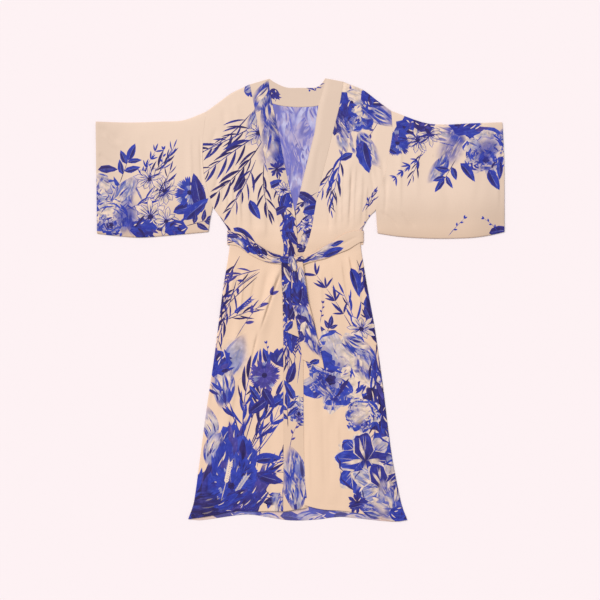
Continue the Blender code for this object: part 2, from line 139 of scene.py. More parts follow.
# A patch is one printed shape: its outline, and the frame in which its marks run from root to tip.
Patch = namedtuple("Patch", "points ink x y turn length width soft strength")

BLADE_STEP = 11.0  # spacing of the points along a blade
STROKE_STEP = 10.0  # and along a stroke
STEM = (0, 0.35, 0.7, 1)  # where a bent stem is drawn through
SPRAY_LEAVES = ((0.25, 1, 0.42), (0.35, -1, 0.46), (0.55, 0.9, 0.42), (0.6, -0.85, 0.4), (0.66, 0.05, 0.5))
BUD_STALKS = ((0.35, -0.8), (0.55, 0.7), (0.75, -0.6), (1.0, 0.5), (1.0, -0.3))
PETAL_ROOT = ((0.32, 0.42), (0.0, 0.10), (0.0, -0.10), (0.32, -0.42))
ROSE_RINGS = ((9, 0.34, 0.70, 0.62), (7, 0.24, 0.54, 0.52), (6, 0.14, 0.4, 0.42), (5, 0.04, 0.27, 0.3))
FRINGES = ((15, 1.0), (11, 0.74), (7, 0.46))
FLAG_PETALS = (
    (2.3, 0.48, 0.36, "petal"), (-2.4, 0.5, 0.38, ""), (0.75, 0.52, 0.4, "cream"), (-0.75, 0.54, 0.44, ""),
    (1.5, 0.46, 0.36, "indigo"), (-1.5, 0.44, 0.38, ""), (0.0, 0.6, 0.5, ""), (3.1, 0.4, 0.36, "indigo"),
)


def offset(x, y, turn, along, across=0.0):
    """The point this far along and across a turned line that starts at x, y."""
    c, s = math.cos(turn), math.sin(turn)
    return x + c * along - s * across, y + s * along + c * across


class Brush:
    """Draws motifs as patches. Each motif is at x, y, about size long or wide, turned from +X."""

    def __init__(self, seed):
        self.rng = random.Random(seed)
        self.patches = []

    def draw(self, local, ink, x, y, turn, length, soft="full", strength=1.0):
        """A patch whose outline is given along and across its turn."""
        points = [offset(x, y, turn, a, b) for a, b in local]
        width = max(1.0, 2 * max(abs(b) for _, b in local))
        self.patches.append(Patch(points, ink, x, y, turn, max(length, 1.0), width, soft, strength))

    def jitter(self, amount):
        return self.rng.uniform(-amount, amount)

    def blade(self, x, y, length, width, turn, ink, bend=0.0, belly=0.45, soft="full", strength=1.0,
              notch=0.0):
        """A pointed leaf that bends to one side."""
        n = max(4, round(length / BLADE_STEP))
        power = math.log(0.5) / math.log(belly)
        upper, lower = [], []
        for k in range(n + 1):
            t = k / n
            half = width / 2 * max(0.0, math.sin(math.pi * t ** power)) ** 0.8
            edge = 1 + notch * (1 if k % 2 else -1)
            upper.append((length * t, bend * length * t * t + half * edge))
            lower.append((length * t, bend * length * t * t - half * (2 - edge)))
        self.draw(upper + lower[-2:0:-1], ink, x, y, turn, length, soft, strength)

    def leaf(self, x, y, size, turn, ink):
        """A broad leaf with one half in shade, a pale midrib and a few fine veins."""
        wide = size * self.rng.uniform(0.32, 0.46)
        bend = self.jitter(0.22)
        self.blade(x, y, size, wide, turn, ink, bend, 0.42, notch=self.rng.choice((0.0, 0.03, 0.08)))
        way = self.rng.choice((-1, 1))
        shaded = offset(x, y, turn, 0.06 * size, way * 0.18 * wide)
        self.blade(*shaded, size * 0.86, wide * 0.34, turn, "night", bend, 0.42, strength=0.8)
        self.blade(x, y, size * 0.84, 1.0 + 0.008 * size, turn, "sky", bend, strength=0.7)
        for k in range(self.rng.randint(0, 2)):
            t = 0.25 + 0.22 * k
            start = offset(x, y, turn, size * t, bend * size * t * t)
            aim = turn + 2 * bend * t - way * 0.6
            self.blade(*start, wide * 0.36, 1.0, aim, "sky", strength=0.6)

    def spray(self, x, y, size, turn, ink):
        """Five broad leaves on a stalk."""
        self.stroke([offset(x, y, turn, t * size) for t in (0, 0.4, 0.7)], 2.6, "night")
        for t, way, long in SPRAY_LEAVES:
            aim = turn + way * 0.85 + self.jitter(0.2)
            self.leaf(*offset(x, y, turn, t * size), long * size, aim, ink)

    def stroke(self, points, wide, ink, strength=1.0):
        """A stroke of the brush along a curve, thin at both ends."""
        line = flowing(points, STROKE_STEP)
        t = np.linspace(0, 1, len(line))
        taper = wide / 2 * (0.2 + 0.8 * np.minimum(t * 6, 1) * (1 - 0.8 * t))
        side = sideways(line) * taper[:, None]
        edge = np.vstack([line + side, (line - side)[::-1]])
        way = line[-1] - line[0]
        turn = math.atan2(way[1], way[0])
        c, s = math.cos(turn), math.sin(turn)
        local = [(a * c + b * s, b * c - a * s) for a, b in edge - line[0]]
        self.draw(local, ink, *line[0], turn, float(np.linalg.norm(way)), strength=strength)

    def along(self, x, y, size, turn, bend):
        """A function that gives the points of a bent line."""
        c, s = math.cos(turn), math.sin(turn)
        return lambda t: (x + size * (t * c - bend * t * t * s), y + size * (t * s + bend * t * t * c))

    def stalk(self, x, y, size, turn, ink):
        """A bare curved stem."""
        at = self.along(x, y, size, turn, self.jitter(0.35))
        self.stroke([at(t) for t in STEM], 2.6 + size * 0.006, ink)

    def twig(self, x, y, size, turn, ink):
        """A bending twig with long narrow leaves."""
        bend = self.jitter(0.28)
        at = self.along(x, y, size, turn, bend)
        self.stroke([at(t) for t in (0, 0.3, 0.6, 1.0)], 2.0 + size * 0.01, ink)
        count = 4 + int(size / 32)
        for k in range(count):
            t = 0.16 + 0.84 * k / count + self.jitter(0.04)
            way = 1 if k % 2 else -1
            long = (14 + size * self.rng.uniform(0.16, 0.36)) * (1.15 - 0.45 * t)
            aim = turn + 2 * bend * t + way * self.rng.uniform(0.35, 0.85)
            tone = ink if self.rng.random() < 0.6 else "night"
            wide = max(3.2, long * self.rng.uniform(0.09, 0.17))
            self.blade(*at(t), long, wide, aim, tone, -way * 0.25, 0.5)
        self.blade(*at(0.96), 12 + size * 0.2, max(4.0, size * 0.045), turn + 2 * bend, ink)

    def bamboo(self, x, y, size, turn, ink):
        """A thin cane with fans of slim leaves at its joints."""
        at = self.along(x, y, size, turn, self.jitter(0.08))
        for k in range(4):
            self.stroke([at(k / 4 + t) for t in (0.01, 0.13, 0.24)], 3.4 - 0.4 * k, ink)
        for k, t in enumerate((0.26, 0.5, 0.75, 1.0)):
            for fan in (-0.9, -0.35, 0.3, 0.8):
                if self.rng.random() < 0.85:
                    long = size * self.rng.uniform(0.15, 0.27)
                    aim = turn + fan * (1 if k % 2 else -1) + self.jitter(0.2)
                    self.blade(*at(t), long, long * 0.15 + 1.5, aim, ink, self.jitter(0.14))

    def ear(self, x, y, size, turn, ink):
        """An ear of grass: a stalk with paired grains and fine bristles."""
        at = self.along(x, y, size, turn, self.jitter(0.1))
        self.stroke([at(t) for t in (0, 0.5, 1)], 2.4, ink)
        for k in range(9):
            for way in (-1, 1):
                self.blade(*at(0.45 + 0.06 * k), size * 0.12, 4.6, turn + way * 0.5, ink)
                if k % 2:
                    self.blade(*at(0.5 + 0.06 * k), size * 0.2, 1.4, turn + way * 0.35, ink)

    def bud(self, x, y, size, turn, ink):
        """A thin curved stalk with small buds."""
        bend = self.jitter(0.3)
        at = self.along(x, y, size, turn, bend)
        self.stroke([at(t) for t in (0, 0.5, 1)], 2.0, ink)
        for t, way in BUD_STALKS:
            self.blade(*at(t), size * 0.17, size * 0.05 + 2, turn + 2 * bend * t + way, ink)

    def trumpet(self, x, y, size, turn, ink):
        """A long curved stalk that ends in a flared bloom with five points."""
        bend = self.rng.choice((-1, 1)) * self.rng.uniform(0.12, 0.35)
        at = self.along(x, y, size, turn, bend)
        self.stroke([at(t) for t in STEM], 3.0, ink)
        aim, long = turn + 2 * bend, 0.16 * size + 10
        for fan in (-0.95, -0.5, 0.0, 0.45, 0.9):
            reach = long * (1.1 - 0.3 * abs(fan))
            self.blade(*at(0.97), reach, long * 0.42, aim + fan, ink, self.jitter(0.1), 0.6)
        self.blade(*at(1.0), long * 0.7, long * 0.12, aim, "mist", strength=0.8)
        for t, way in ((0.3, 1), (0.5, -1), (0.66, 1)):
            aim = turn + 2 * bend * t + way * 0.6
            self.blade(*at(t), size * 0.2, size * 0.045 + 1.5, aim, ink, -way * 0.2)

    def ruffle(self, radius, lobes, depth, stretch=1.0):
        """A closed ruffled line round a point."""
        phase, second = self.rng.uniform(0, 6.3), self.rng.uniform(0, 6.3)
        n = max(14, int(radius * 0.5))
        line = []
        for k in range(n):
            a = 2 * math.pi * k / n
            wave = depth * math.sin(lobes * a + phase)
            ripple = 0.5 * depth * math.sin((2 * lobes + 1) * a + second)
            r = radius * (1 + wave + ripple)
            line.append((stretch * r * math.cos(a), r * math.sin(a)))
        return line

    def cloud(self, x, y, size, turn, ink, strength=0.8, stretch=1.5):
        """A soft patch of wet colour."""
        line = self.ruffle(size / 2, 3, 0.08, stretch)
        self.draw(line, ink, x, y, turn, size / 2 * stretch, "cloud", strength)

    def open_petal(self, x, y, long, wide, turn, ink):
        """A broad ruffled petal from its root, with strokes that follow it."""
        n, rim = 9, []
        notch, phase = self.rng.uniform(0.04, 0.1), self.rng.uniform(0, 6.3)
        for k in range(n + 1):
            a = -1 + 2 * k / n
            reach = long * (1 - 0.32 * a * a) * (1 + notch * math.sin(5 * a + phase))
            rim.append((reach * (1 - 0.12 * a ** 4), a * wide / 2 * (1 - 0.25 * abs(a) ** 6)))
        root = [(out * long, broad * wide) for out, broad in PETAL_ROOT]
        self.draw(rim + root, ink, x, y, turn, long)
        for _ in range(self.rng.randint(2, 3)):
            b = self.jitter(0.34) * wide
            start, end = self.rng.uniform(0.05, 0.35) * long, self.rng.uniform(0.5, 0.88) * long
            slim = self.rng.uniform(0.02, 0.06) * wide + 0.7
            tone = "royal" if self.rng.random() < 0.6 else "cream"
            middle = (start + end) / 2
            mark = [(start, b * 0.4), (middle, b * 0.8 - slim), (end, b * 1.1), (middle, b * 0.8 + slim)]
            self.draw(mark, tone, x, y, turn, long, strength=0.75)

    def crescent(self, x, y, reach, half, turn, ink, heavy=0.06):
        """A short thick and thin stroke that lies across a petal."""
        outer, inner = [], []
        start, end = self.rng.uniform(-1, -0.2), self.rng.uniform(0.2, 1)
        phase, wave = self.rng.uniform(0, 6.3), self.rng.uniform(0.02, 0.06)
        for k in range(6):
            a = start + (end - start) * k / 5
            r = reach * (1 - 0.3 * a * a) * (1 + wave * math.sin(5 * a + phase))
            swell = max(0.0, math.sin(math.pi * k / 5)) ** 0.7
            thick = heavy * self.rng.uniform(0.5, 1.4) * reach * swell + 0.25
            outer.append((r, a * half))
            inner.append((r - 2 * thick, a * half * 0.96))
        self.draw(outer + inner[::-1], ink, x, y, turn, reach)

    def rose(self, x, y, size, turn, ink):
        """A full bloom: broad pale petals on the light side, tight dark ones round a heart on the other."""
        radius = size / 2
        shaded = turn + 3.9
        self.draw(self.ruffle(radius * 0.82, 7, 0.08), "smear", x, y, turn, radius)
        for ring, (count, out, long, wide) in enumerate(ROSE_RINGS):
            middle = offset(x, y, shaded, 0.1 * ring * radius)
            for k in range(count):
                a = turn + 2 * math.pi * (k + 0.5 * ring) / count + self.jitter(0.24)
                at = offset(*middle, a, out * radius)
                aim = a + self.jitter(0.35)
                reach = long * radius * self.rng.uniform(0.75, 1.15)
                dark = min(1.0, 0.5 + 0.5 * math.cos(a - shaded) + 0.14 * ring)
                tones = ("petal", "smear", ink, "petal", "royal")
                if dark < 0.6:
                    tones = ("cream", "petal", "cream", "mist")
                self.open_petal(*at, reach, wide * radius * 1.1, aim, self.rng.choice(tones))
                for part in (0.97, 0.8, 0.6)[: 1 + round(1.6 * dark)]:
                    lean = aim + self.jitter(0.2)
                    tone = self.rng.choice(("royal", "indigo", "royal", "smear"))
                    half = 0.55 * wide * radius * part
                    self.crescent(*at, part * reach, half, lean, tone, 0.04 + 0.08 * dark)
            dusk = offset(x, y, shaded, 0.5 * radius)
            self.cloud(*dusk, radius * 0.6, shaded + 1.57, "smear", 0.8)
        for k in range(4):
            self.crescent(x, y, radius * (0.96 - 0.13 * k), radius * 0.7, turn + 0.4 + self.jitter(0.7),
                          "smear" if k % 2 else "royal", 0.07)
        self.cloud(*offset(x, y, turn + 1, 0.4 * radius), radius * 0.5, turn + 2.4, "cream", 0.85)
        heart = offset(x, y, shaded, 0.34 * radius)
        for k in range(10):
            r = radius * (0.1 + 0.035 * k)
            self.crescent(*heart, r, r * 0.9, self.rng.uniform(0, 6.3),
                          self.rng.choice(("royal", "night", "indigo")), 0.2 - 0.01 * k)
        self.draw(self.ruffle(radius * 0.13, 5, 0.2), "night", *heart, turn, radius * 0.1)

    def daisy(self, x, y, size, turn, ink):
        """An open flower: slim outlined petals of uneven length, a dark heart and dark stamens."""
        radius, count = size / 2, self.rng.randint(9, 12)
        pale = ink in ("mist", "petal", "cream")
        for k in range(count):
            a = turn + 2 * math.pi * k / count + self.jitter(0.16)
            long, wide = radius * self.rng.uniform(0.7, 1.08), radius * self.rng.uniform(0.24, 0.36)
            bend = self.jitter(0.16)
            if pale:
                self.blade(x, y, long + 2.0, wide + 3.0, a, "royal", bend, 0.62)
            self.blade(x, y, long, wide, a, "cream" if pale else ink, bend, 0.66, notch=0.04)
            self.blade(x, y, long * self.rng.uniform(0.5, 0.8), 1.8 + radius * 0.02, a + self.jitter(0.12),
                       "royal" if pale else "night", bend)
        for k in range(8):
            a, reach = self.rng.uniform(0, 6.3), radius * self.rng.uniform(0.25, 0.6)
            tone = "night" if k % 3 else "indigo"
            self.blade(x, y, reach, 1.2 + radius * 0.03, a, tone, self.jitter(0.3), 0.75)
        self.draw(self.ruffle(radius * 0.16, 6, 0.25), "night", x, y, turn, radius)

    def fringed(self, x, y, size, turn, ink):
        """A bloom of toothed wedges, like a cornflower."""
        radius = size / 2
        for layer, (count, reach) in enumerate(FRINGES):
            for k in range(count):
                a = turn + 2 * math.pi * (k + 0.4 * layer) / count + self.jitter(0.1)
                long = radius * reach * self.rng.uniform(0.85, 1.06)
                half = long * math.pi / count * 0.8
                teeth = [(long * (1.0 if j % 2 else 0.84), half * (j / 3 - 1)) for j in range(7)]
                tone = ink if (k + layer) % 3 else self.rng.choice(("indigo", "violet", "sky"))
                self.draw([(long * 0.05, -1.0)] + teeth + [(long * 0.05, 1.0)], tone, x, y, a, long)
        self.draw(self.ruffle(radius * 0.16, 7, 0.15), "night", x, y, turn, radius)

    def flag(self, x, y, size, turn, ink):
        """An iris: deep frilled petals with a pale flame in each, and pale ones between them."""
        for aim, long, wide, tone in FLAG_PETALS:
            aim = turn + aim + self.jitter(0.2)
            tone = tone or ink
            deep = tone in (ink, "indigo")
            reach, broad = size * long * self.rng.uniform(0.85, 1.1), size * wide
            self.open_petal(x, y, reach * 1.05, broad * 1.12, aim, "cream" if deep else "royal")
            self.open_petal(x, y, reach, broad, aim + self.jitter(0.08), tone)
            for _ in range(2):
                self.blade(x, y, reach * self.rng.uniform(0.5, 0.8), broad * 0.14, aim + self.jitter(0.2),
                           "cream" if deep else "smear", self.jitter(0.2), 0.6, "ends", 0.9)
            for flame in ("cream", "night", "cream"):
                b = self.jitter(0.2) * broad
                mark = [(reach * 0.3, b * 0.5), (reach * 0.6, b - 0.8), (reach * 0.92, b * 1.5),
                        (reach * 0.6, b + 0.8)]
                self.draw(mark, flame if deep else "royal", x, y, aim, reach, strength=0.8)
            self.crescent(x, y, reach * 0.97, broad * 0.5, aim, "night" if deep else "indigo", 0.03)
        self.cloud(x, y, size * 0.2, turn, "night", 0.7)

    def wash(self, x, y, size, turn, ink):
        """Wet colour with a few loose strokes of a broad brush."""
        for tone in ("smear", ink, "cream", "smear"):
            at = offset(x, y, turn, self.jitter(0.3) * size, self.jitter(0.12) * size)
            self.cloud(*at, size * self.rng.uniform(0.22, 0.4), turn + self.jitter(0.3), tone, 0.9, 1.9)
        for _ in range(int(6 + size / 18)):
            at = offset(x, y, turn, self.rng.uniform(-0.5, 0.3) * size, self.rng.gauss(0, 0.13) * size)
            long = size * self.rng.uniform(0.2, 0.5)
            tone = self.rng.choice((ink, "smear", "mist", "royal", "cream", "cream"))
            self.blade(*at, long, self.rng.uniform(3.0, 5.0 + size * 0.07), turn + self.jitter(0.3), tone,
                       self.jitter(0.3), self.rng.uniform(0.35, 0.65), "ends", self.rng.uniform(0.6, 1.0))

    def flow(self, x, y, size, turn, ink):
        """A broad wet stroke that curves: blue along its rim and cream along its middle."""
        bend = self.rng.choice((-1, 1)) * self.rng.uniform(0.1, 0.3)
        self.blade(x, y, size, size * 0.44, turn, "smear", bend, 0.5, "wet", 1.0)
        self.blade(x, y, size * 0.96, size * 0.32, turn, ink, bend, 0.55, "wet", 0.9)
        for k in range(4):
            a, b = self.rng.uniform(0.02, 0.45) * size, self.jitter(0.09) * size
            at = offset(x, y, turn, a, b)
            way = turn + 2 * bend * a / size + self.jitter(0.15)
            self.blade(*at, size * self.rng.uniform(0.3, 0.55), size * self.rng.uniform(0.07, 0.17), way,
                       "cream" if k % 2 else "mist", bend, self.rng.uniform(0.4, 0.6), "ends")
            self.blade(*at, size * self.rng.uniform(0.2, 0.45), size * self.rng.uniform(0.02, 0.07), way,
                       self.rng.choice(("royal", "indigo", "smear")), bend * 1.5, soft="ends")

    def thicket(self, x, y, size, turn, ink):
        """A dark mass of upright strokes with a few pale gaps."""
        self.draw(self.ruffle(size * 0.3, 9, 0.1, 1.5), ink, x, y, turn, size * 0.5)
        for k in range(int(16 + size / 9)):
            at = offset(x, y, turn, self.rng.uniform(-0.55, 0.2) * size, self.jitter(0.27) * size)
            tone = self.rng.choice((ink, ink, "royal", "indigo", "night", "royal", "violet"))
            self.blade(*at, size * self.rng.uniform(0.22, 0.5), size * self.rng.uniform(0.05, 0.12),
                       turn + self.jitter(0.25), tone, self.jitter(0.25), soft="ends" if k % 2 else "full")
        for _ in range(int(4 + size / 30)):
            at = offset(x, y, turn, self.rng.uniform(-0.45, 0.2) * size, self.jitter(0.24) * size)
            self.blade(*at, size * self.rng.uniform(0.08, 0.26), size * self.rng.uniform(0.008, 0.03),
                       turn + self.jitter(0.4), "cream", self.jitter(0.4))

    def shade(self, x, y, size, turn, ink):
        """A dark mass of overlapping leaves with a few pale slits."""
        self.draw(self.ruffle(size * 0.34, 7, 0.14, 1.25), ink, x, y, turn, size * 0.5)
        for _ in range(int(8 + size / 16)):
            a, r = self.rng.uniform(0, 6.3), size * 0.3 * math.sqrt(self.rng.random())
            at = x + 1.2 * r * math.cos(a), y + r * math.sin(a)
            tone = self.rng.choice(("night", "royal", "indigo", "royal", "violet"))
            self.blade(*at, size * self.rng.uniform(0.22, 0.45), size * self.rng.uniform(0.07, 0.14),
                       turn + self.jitter(1.2), tone, self.jitter(0.3), notch=0.05)
        for _ in range(2 + int(size / 30)):
            at = offset(x, y, turn, self.jitter(0.4) * size, self.jitter(0.26) * size)
            self.blade(*at, size * self.rng.uniform(0.12, 0.26), 2.0 + 0.012 * size,
                       turn + self.jitter(0.9), "cream", self.jitter(0.4))


# The print: what is drawn on each piece, the first below and the last on top, each with its place, its size,
# its turn in degrees and its ink. The place is in the robe, or for belt_right, belt_left and the tails
# along and across their own flat cloth.
PRINT = {
    "front_right": [
        ("shade", -140, 632, 70, 34, "royal"), ("flow", -170, 622, 80, 30, "mist"),
        ("flow", -122, 585, 130, -96, "sky"), ("flow", -92, 470, 150, -80, "royal"),
        ("cloud", -84, 430, 90, -70, "smear"), ("twig", -146, 560, 190, -128, "indigo"),
        ("twig", -130, 524, 180, -152, "indigo"), ("twig", -120, 500, 210, -146, "indigo"),
        ("twig", -116, 470, 200, -122, "night"), ("daisy", -124, 500, 96, 10, "mist"),
        ("twig", -132, 420, 170, -112, "indigo"), ("twig", -108, 410, 150, -96, "night"),
        ("leaf", -166, 372, 60, -118, "night"), ("leaf", -150, 300, 66, -70, "royal"),
        ("leaf", -200, 216, 88, -30, "royal"), ("leaf", -240, 236, 66, -60, "indigo"),
        ("twig", -186, 190, 110, 150, "indigo"), ("twig", -180, 132, 200, -120, "indigo"),
        ("twig", -120, 92, 150, -166, "violet"), ("bud", -130, 84, 130, -150, "indigo"),
        ("twig", -190, 60, 150, -104, "indigo"), ("stalk", -120, 84, 170, -150, "indigo"),
        ("stalk", -128, 70, 160, -138, "night"), ("ear", -240, -70, 120, 34, "royal"),
        ("twig", -224, -60, 110, 20, "indigo"), ("bud", -196, -120, 170, 62, "violet"),
        ("twig", -216, -30, 120, -112, "indigo"), ("flow", -214, -240, 150, 84, "mist"),
        ("cloud", -196, -170, 100, 70, "mist"), ("flow", -236, -330, 170, 80, "sky"),
        ("shade", -244, -190, 100, 60, "royal"), ("flow", -268, -430, 120, 84, "mist"),
        ("thicket", -214, -440, 150, 82, "royal"), ("trumpet", -180, -420, 230, 96, "royal"),
        ("trumpet", -166, -430, 260, 76, "indigo"), ("trumpet", -160, -470, 240, 62, "royal"),
        ("trumpet", -150, -480, 190, 52, "royal"), ("trumpet", -178, -400, 200, 110, "indigo"),
        ("twig", -128, -400, 210, 84, "royal"), ("twig", -166, -430, 230, 98, "royal"),
        ("twig", -150, -450, 190, 66, "indigo"), ("leaf", -150, -340, 80, 40, "indigo"),
        ("leaf", -120, -300, 56, 130, "royal"), ("leaf", -94, -320, 50, 20, "royal"),
        ("bud", -90, -190, 60, 100, "royal"), ("leaf", -92, -196, 56, 110, "royal"),
        ("thicket", -268, -590, 210, 74, "night"), ("flow", -276, -500, 120, 80, "mist"),
        ("thicket", -196, -500, 210, 80, "royal"), ("thicket", -176, -590, 210, 60, "indigo"),
        ("thicket", -250, -630, 170, 10, "night"), ("fringed", -106, -226, 100, 20, "violet"),
        ("leaf", -110, -262, 70, -70, "indigo"), ("cloud", -250, -626, 150, 0, "night"),
        ("daisy", -176, -520, 130, 10, "royal"), ("stalk", -150, -440, 150, 66, "indigo"),
        ("stalk", -140, -470, 150, 48, "royal"), ("stalk", -128, -500, 150, 76, "indigo"),
        ("stalk", -120, -520, 100, 20, "indigo"), ("stalk", -124, -540, 90, -6, "royal"),
        ("wash", -214, -540, 150, 74, "sky"), ("fringed", -206, -556, 130, 30, "royal"),
        ("ear", -236, -600, 120, 74, "cream"), ("ear", -216, -620, 110, 62, "mist"),
        ("thicket", -190, -610, 130, 30, "indigo"), ("leaf", -138, -480, 84, 14, "royal"),
        ("leaf", -130, -520, 84, -24, "indigo"), ("twig", -130, -540, 130, 40, "royal"),
        ("trumpet", -130, -520, 90, 10, "indigo"), ("bud", -116, -500, 90, 24, "royal"),
        ("twig", -118, -590, 110, -8, "royal"), ("spray", -106, -566, 84, -50, "royal"),
        ("leaf", -110, -606, 60, 6, "night"), ("wash", -66, -610, 90, 80, "mist"),
    ],
    "band_right": [
        ("flow", -84, 664, 130, -112, "royal"), ("shade", -70, 612, 60, -60, "indigo"),
        ("flow", -100, 620, 190, -72, "royal"), ("flow", -84, 560, 170, -84, "petal"),
        ("cloud", -72, 520, 70, -60, "smear"), ("flow", -80, 500, 130, -60, "royal"),
        ("wash", -66, 440, 110, -64, "royal"), ("cloud", -64, 430, 60, -70, "royal"),
        ("leaf", -60, 470, 60, -70, "royal"), ("daisy", -70, 392, 56, 10, "indigo"),
        ("twig", -60, 380, 100, -100, "night"), ("leaf", -54, 360, 66, 210, "royal"),
        ("shade", -40, 302, 62, -80, "royal"), ("shade", -34, 236, 54, -80, "royal"),
        ("daisy", -50, 330, 50, 30, "mist"), ("leaf", -36, 322, 74, -116, "royal"),
        ("twig", -54, 300, 110, -70, "royal"), ("leaf", -40, 280, 60, -150, "indigo"),
        ("leaf", -30, 246, 74, -100, "royal"), ("twig", -20, 250, 100, -110, "indigo"),
        ("daisy", -36, 196, 46, 0, "royal"), ("leaf", -26, 168, 60, -88, "indigo"),
        ("twig", -50, 214, 90, -84, "royal"), ("shade", -52, 150, 44, -90, "royal"),
        ("leaf", -34, 206, 54, -64, "indigo"), ("ear", -44, 214, 80, -70, "night"),
        ("shade", -38, 70, 90, -90, "royal"), ("shade", -34, -10, 80, -90, "indigo"),
        ("leaf", -30, 40, 90, -80, "royal"), ("leaf", -34, -30, 90, -104, "night"),
        ("leaf", -20, -70, 90, -100, "royal"), ("twig", -36, -110, 110, -84, "indigo"),
        ("twig", -30, -80, 110, -92, "indigo"), ("ear", -34, -230, 200, 92, "royal"),
        ("ear", -20, -240, 180, 88, "indigo"), ("ear", -8, -250, 190, 84, "royal"),
        ("leaf", -40, -250, 70, 60, "indigo"), ("leaf", -14, -300, 70, 120, "royal"),
        ("rose", 8, -330, 90, 0, "petal"), ("spray", -36, -380, 90, 92, "royal"),
        ("bud", -32, -450, 90, 84, "violet"), ("flow", -12, -640, 190, 86, "royal"),
        ("flow", -8, -560, 130, 88, "smear"), ("cloud", -10, -560, 60, 90, "smear"),
        ("leaf", 4, -540, 70, 96, "sky"), ("flow", -20, -620, 90, 90, "sky"),
    ],
    "band_left": [
        ("leaf", -10, 322, 76, -24, "indigo"), ("twig", 50, 322, 110, -150, "indigo"),
        ("wash", 26, 262, 90, -80, "mist"), ("leaf", 8, 262, 76, 20, "royal"),
        ("twig", 34, 270, 100, -116, "royal"), ("leaf", 0, 230, 60, -20, "royal"),
        ("daisy", 20, 226, 44, 0, "mist"), ("leaf", 4, 190, 66, 20, "indigo"),
        ("bud", 0, 165, 70, 60, "royal"), ("twig", -6, 214, 90, -96, "night"),
        ("leaf", -14, 168, 44, -30, "indigo"), ("leaf", -12, 146, 40, 10, "night"),
        ("wash", 16, 172, 60, -70, "mist"), ("leaf", -30, -100, 90, -84, "royal"),
        ("leaf", -20, -300, 100, 80, "royal"), ("wash", -22, -560, 120, 86, "mist"),
    ],
    "band_neck": [
        ("shade", -76, 618, 42, -60, "indigo"), ("twig", 4, 640, 50, -8, "indigo"),
        ("bud", 70, 640, 40, 190, "royal"),
    ],
    "front_left": [
        ("shade", 150, 606, 160, -50, "royal"), ("rose", 156, 576, 170, 20, "sky"),
        ("flow", 176, 606, 150, -40, "royal"), ("shade", 122, 584, 100, -70, "royal"),
        ("shade", 112, 545, 110, 80, "indigo"), ("shade", 212, 604, 80, -40, "royal"),
        ("flow", 178, 510, 130, -76, "sky"), ("wash", 140, 500, 110, -70, "smear"),
        ("wash", 128, 470, 80, -60, "mist"), ("leaf", 184, 478, 100, -84, "royal"),
        ("leaf", 158, 440, 50, -150, "royal"), ("bud", 236, 536, 84, -116, "violet"),
        ("twig", 128, 456, 150, -100, "royal"), ("twig", 112, 420, 120, -112, "royal"),
        ("twig", 98, 350, 80, -108, "royal"), ("bud", 186, 262, 70, 70, "royal"),
        ("bud", 176, 208, 50, 40, "royal"), ("twig", 196, 268, 60, 60, "indigo"),
        ("spray", 170, 120, 110, -70, "indigo"), ("leaf", 152, 96, 90, -62, "royal"),
        ("leaf", 196, 82, 90, -78, "night"), ("twig", 188, 150, 110, -80, "indigo"),
        ("bamboo", 156, -84, 190, 120, "indigo"), ("twig", 180, -120, 150, 104, "royal"),
        ("bamboo", 196, -90, 140, 88, "night"), ("leaf", 204, 20, 100, -72, "royal"),
        ("leaf", 192, -20, 80, -60, "indigo"), ("leaf", 214, -60, 90, -70, "night"),
        ("daisy", 184, -86, 92, 12, "mist"), ("twig", 232, -80, 190, -80, "indigo"),
        ("leaf", 222, -180, 100, -92, "violet"), ("bud", 60, -70, 60, 80, "violet"),
        ("spray", 66, -120, 70, 60, "indigo"), ("wash", 190, -190, 190, -66, "royal"),
        ("rose", 122, -212, 236, 0, "petal"), ("flow", 132, -104, 130, -48, "smear"),
        ("wash", 196, -210, 120, -70, "sky"), ("twig", 224, -150, 210, -84, "indigo"),
        ("twig", 206, -160, 180, -72, "royal"), ("leaf", 214, -260, 130, -74, "royal"),
        ("thicket", 236, -330, 150, -76, "night"), ("twig", 232, -250, 170, -84, "indigo"),
        ("rose", 186, -346, 110, 30, "mist"), ("cloud", 176, -350, 50, 30, "cream"),
        ("leaf", 226, -400, 110, -60, "indigo"), ("thicket", 266, -450, 140, -70, "royal"),
        ("flag", 196, -480, 190, -84, "royal"), ("flow", 262, -460, 120, -70, "mist"),
        ("flag", 244, -560, 170, -60, "sky"), ("wash", 276, -590, 130, -70, "sky"),
        ("flow", 286, -540, 110, -74, "royal"), ("daisy", 172, -606, 74, 0, "indigo"),
        ("leaf", 186, -632, 80, -8, "royal"), ("leaf", 148, -624, 50, 10, "indigo"),
        ("wash", 240, -630, 120, -20, "sky"), ("shade", 296, -640, 70, -10, "royal"),
    ],
    "sleeve_right": [
        ("spray", -540, 350, 110, 70, "royal"), ("leaf", -606, 390, 60, 10, "indigo"),
        ("twig", -500, 330, 150, 40, "indigo"), ("bamboo", -490, 350, 110, 60, "royal"),
        ("daisy", -452, 362, 88, 10, "mist"), ("flow", -540, 340, 150, -80, "mist"),
        ("wash", -510, 280, 160, -60, "royal"), ("rose", -600, 318, 140, 0, "sky"),
        ("flow", -560, 250, 150, 70, "sky"), ("rose", -566, 244, 110, 50, "petal"),
        ("cloud", -520, 250, 90, 80, "royal"), ("twig", -520, 270, 120, 20, "royal"),
        ("daisy", -404, 326, 96, 20, "mist"), ("twig", -440, 290, 110, 50, "indigo"),
        ("daisy", -448, 250, 110, 0, "mist"), ("shade", -470, 214, 90, 0, "royal"),
        ("leaf", -430, 210, 70, 20, "indigo"), ("daisy", -400, 236, 90, 20, "petal"),
        ("shade", -372, 216, 80, 0, "royal"), ("leaf", -380, 262, 90, 24, "royal"),
        ("fringed", -330, 322, 96, 0, "royal"), ("leaf", -296, 262, 120, 96, "indigo"),
        ("leaf", -350, 240, 100, 40, "royal"), ("spray", -340, 222, 90, 16, "indigo"),
        ("bud", -424, 370, 80, 70, "royal"), ("twig", -424, 380, 90, 50, "royal"),
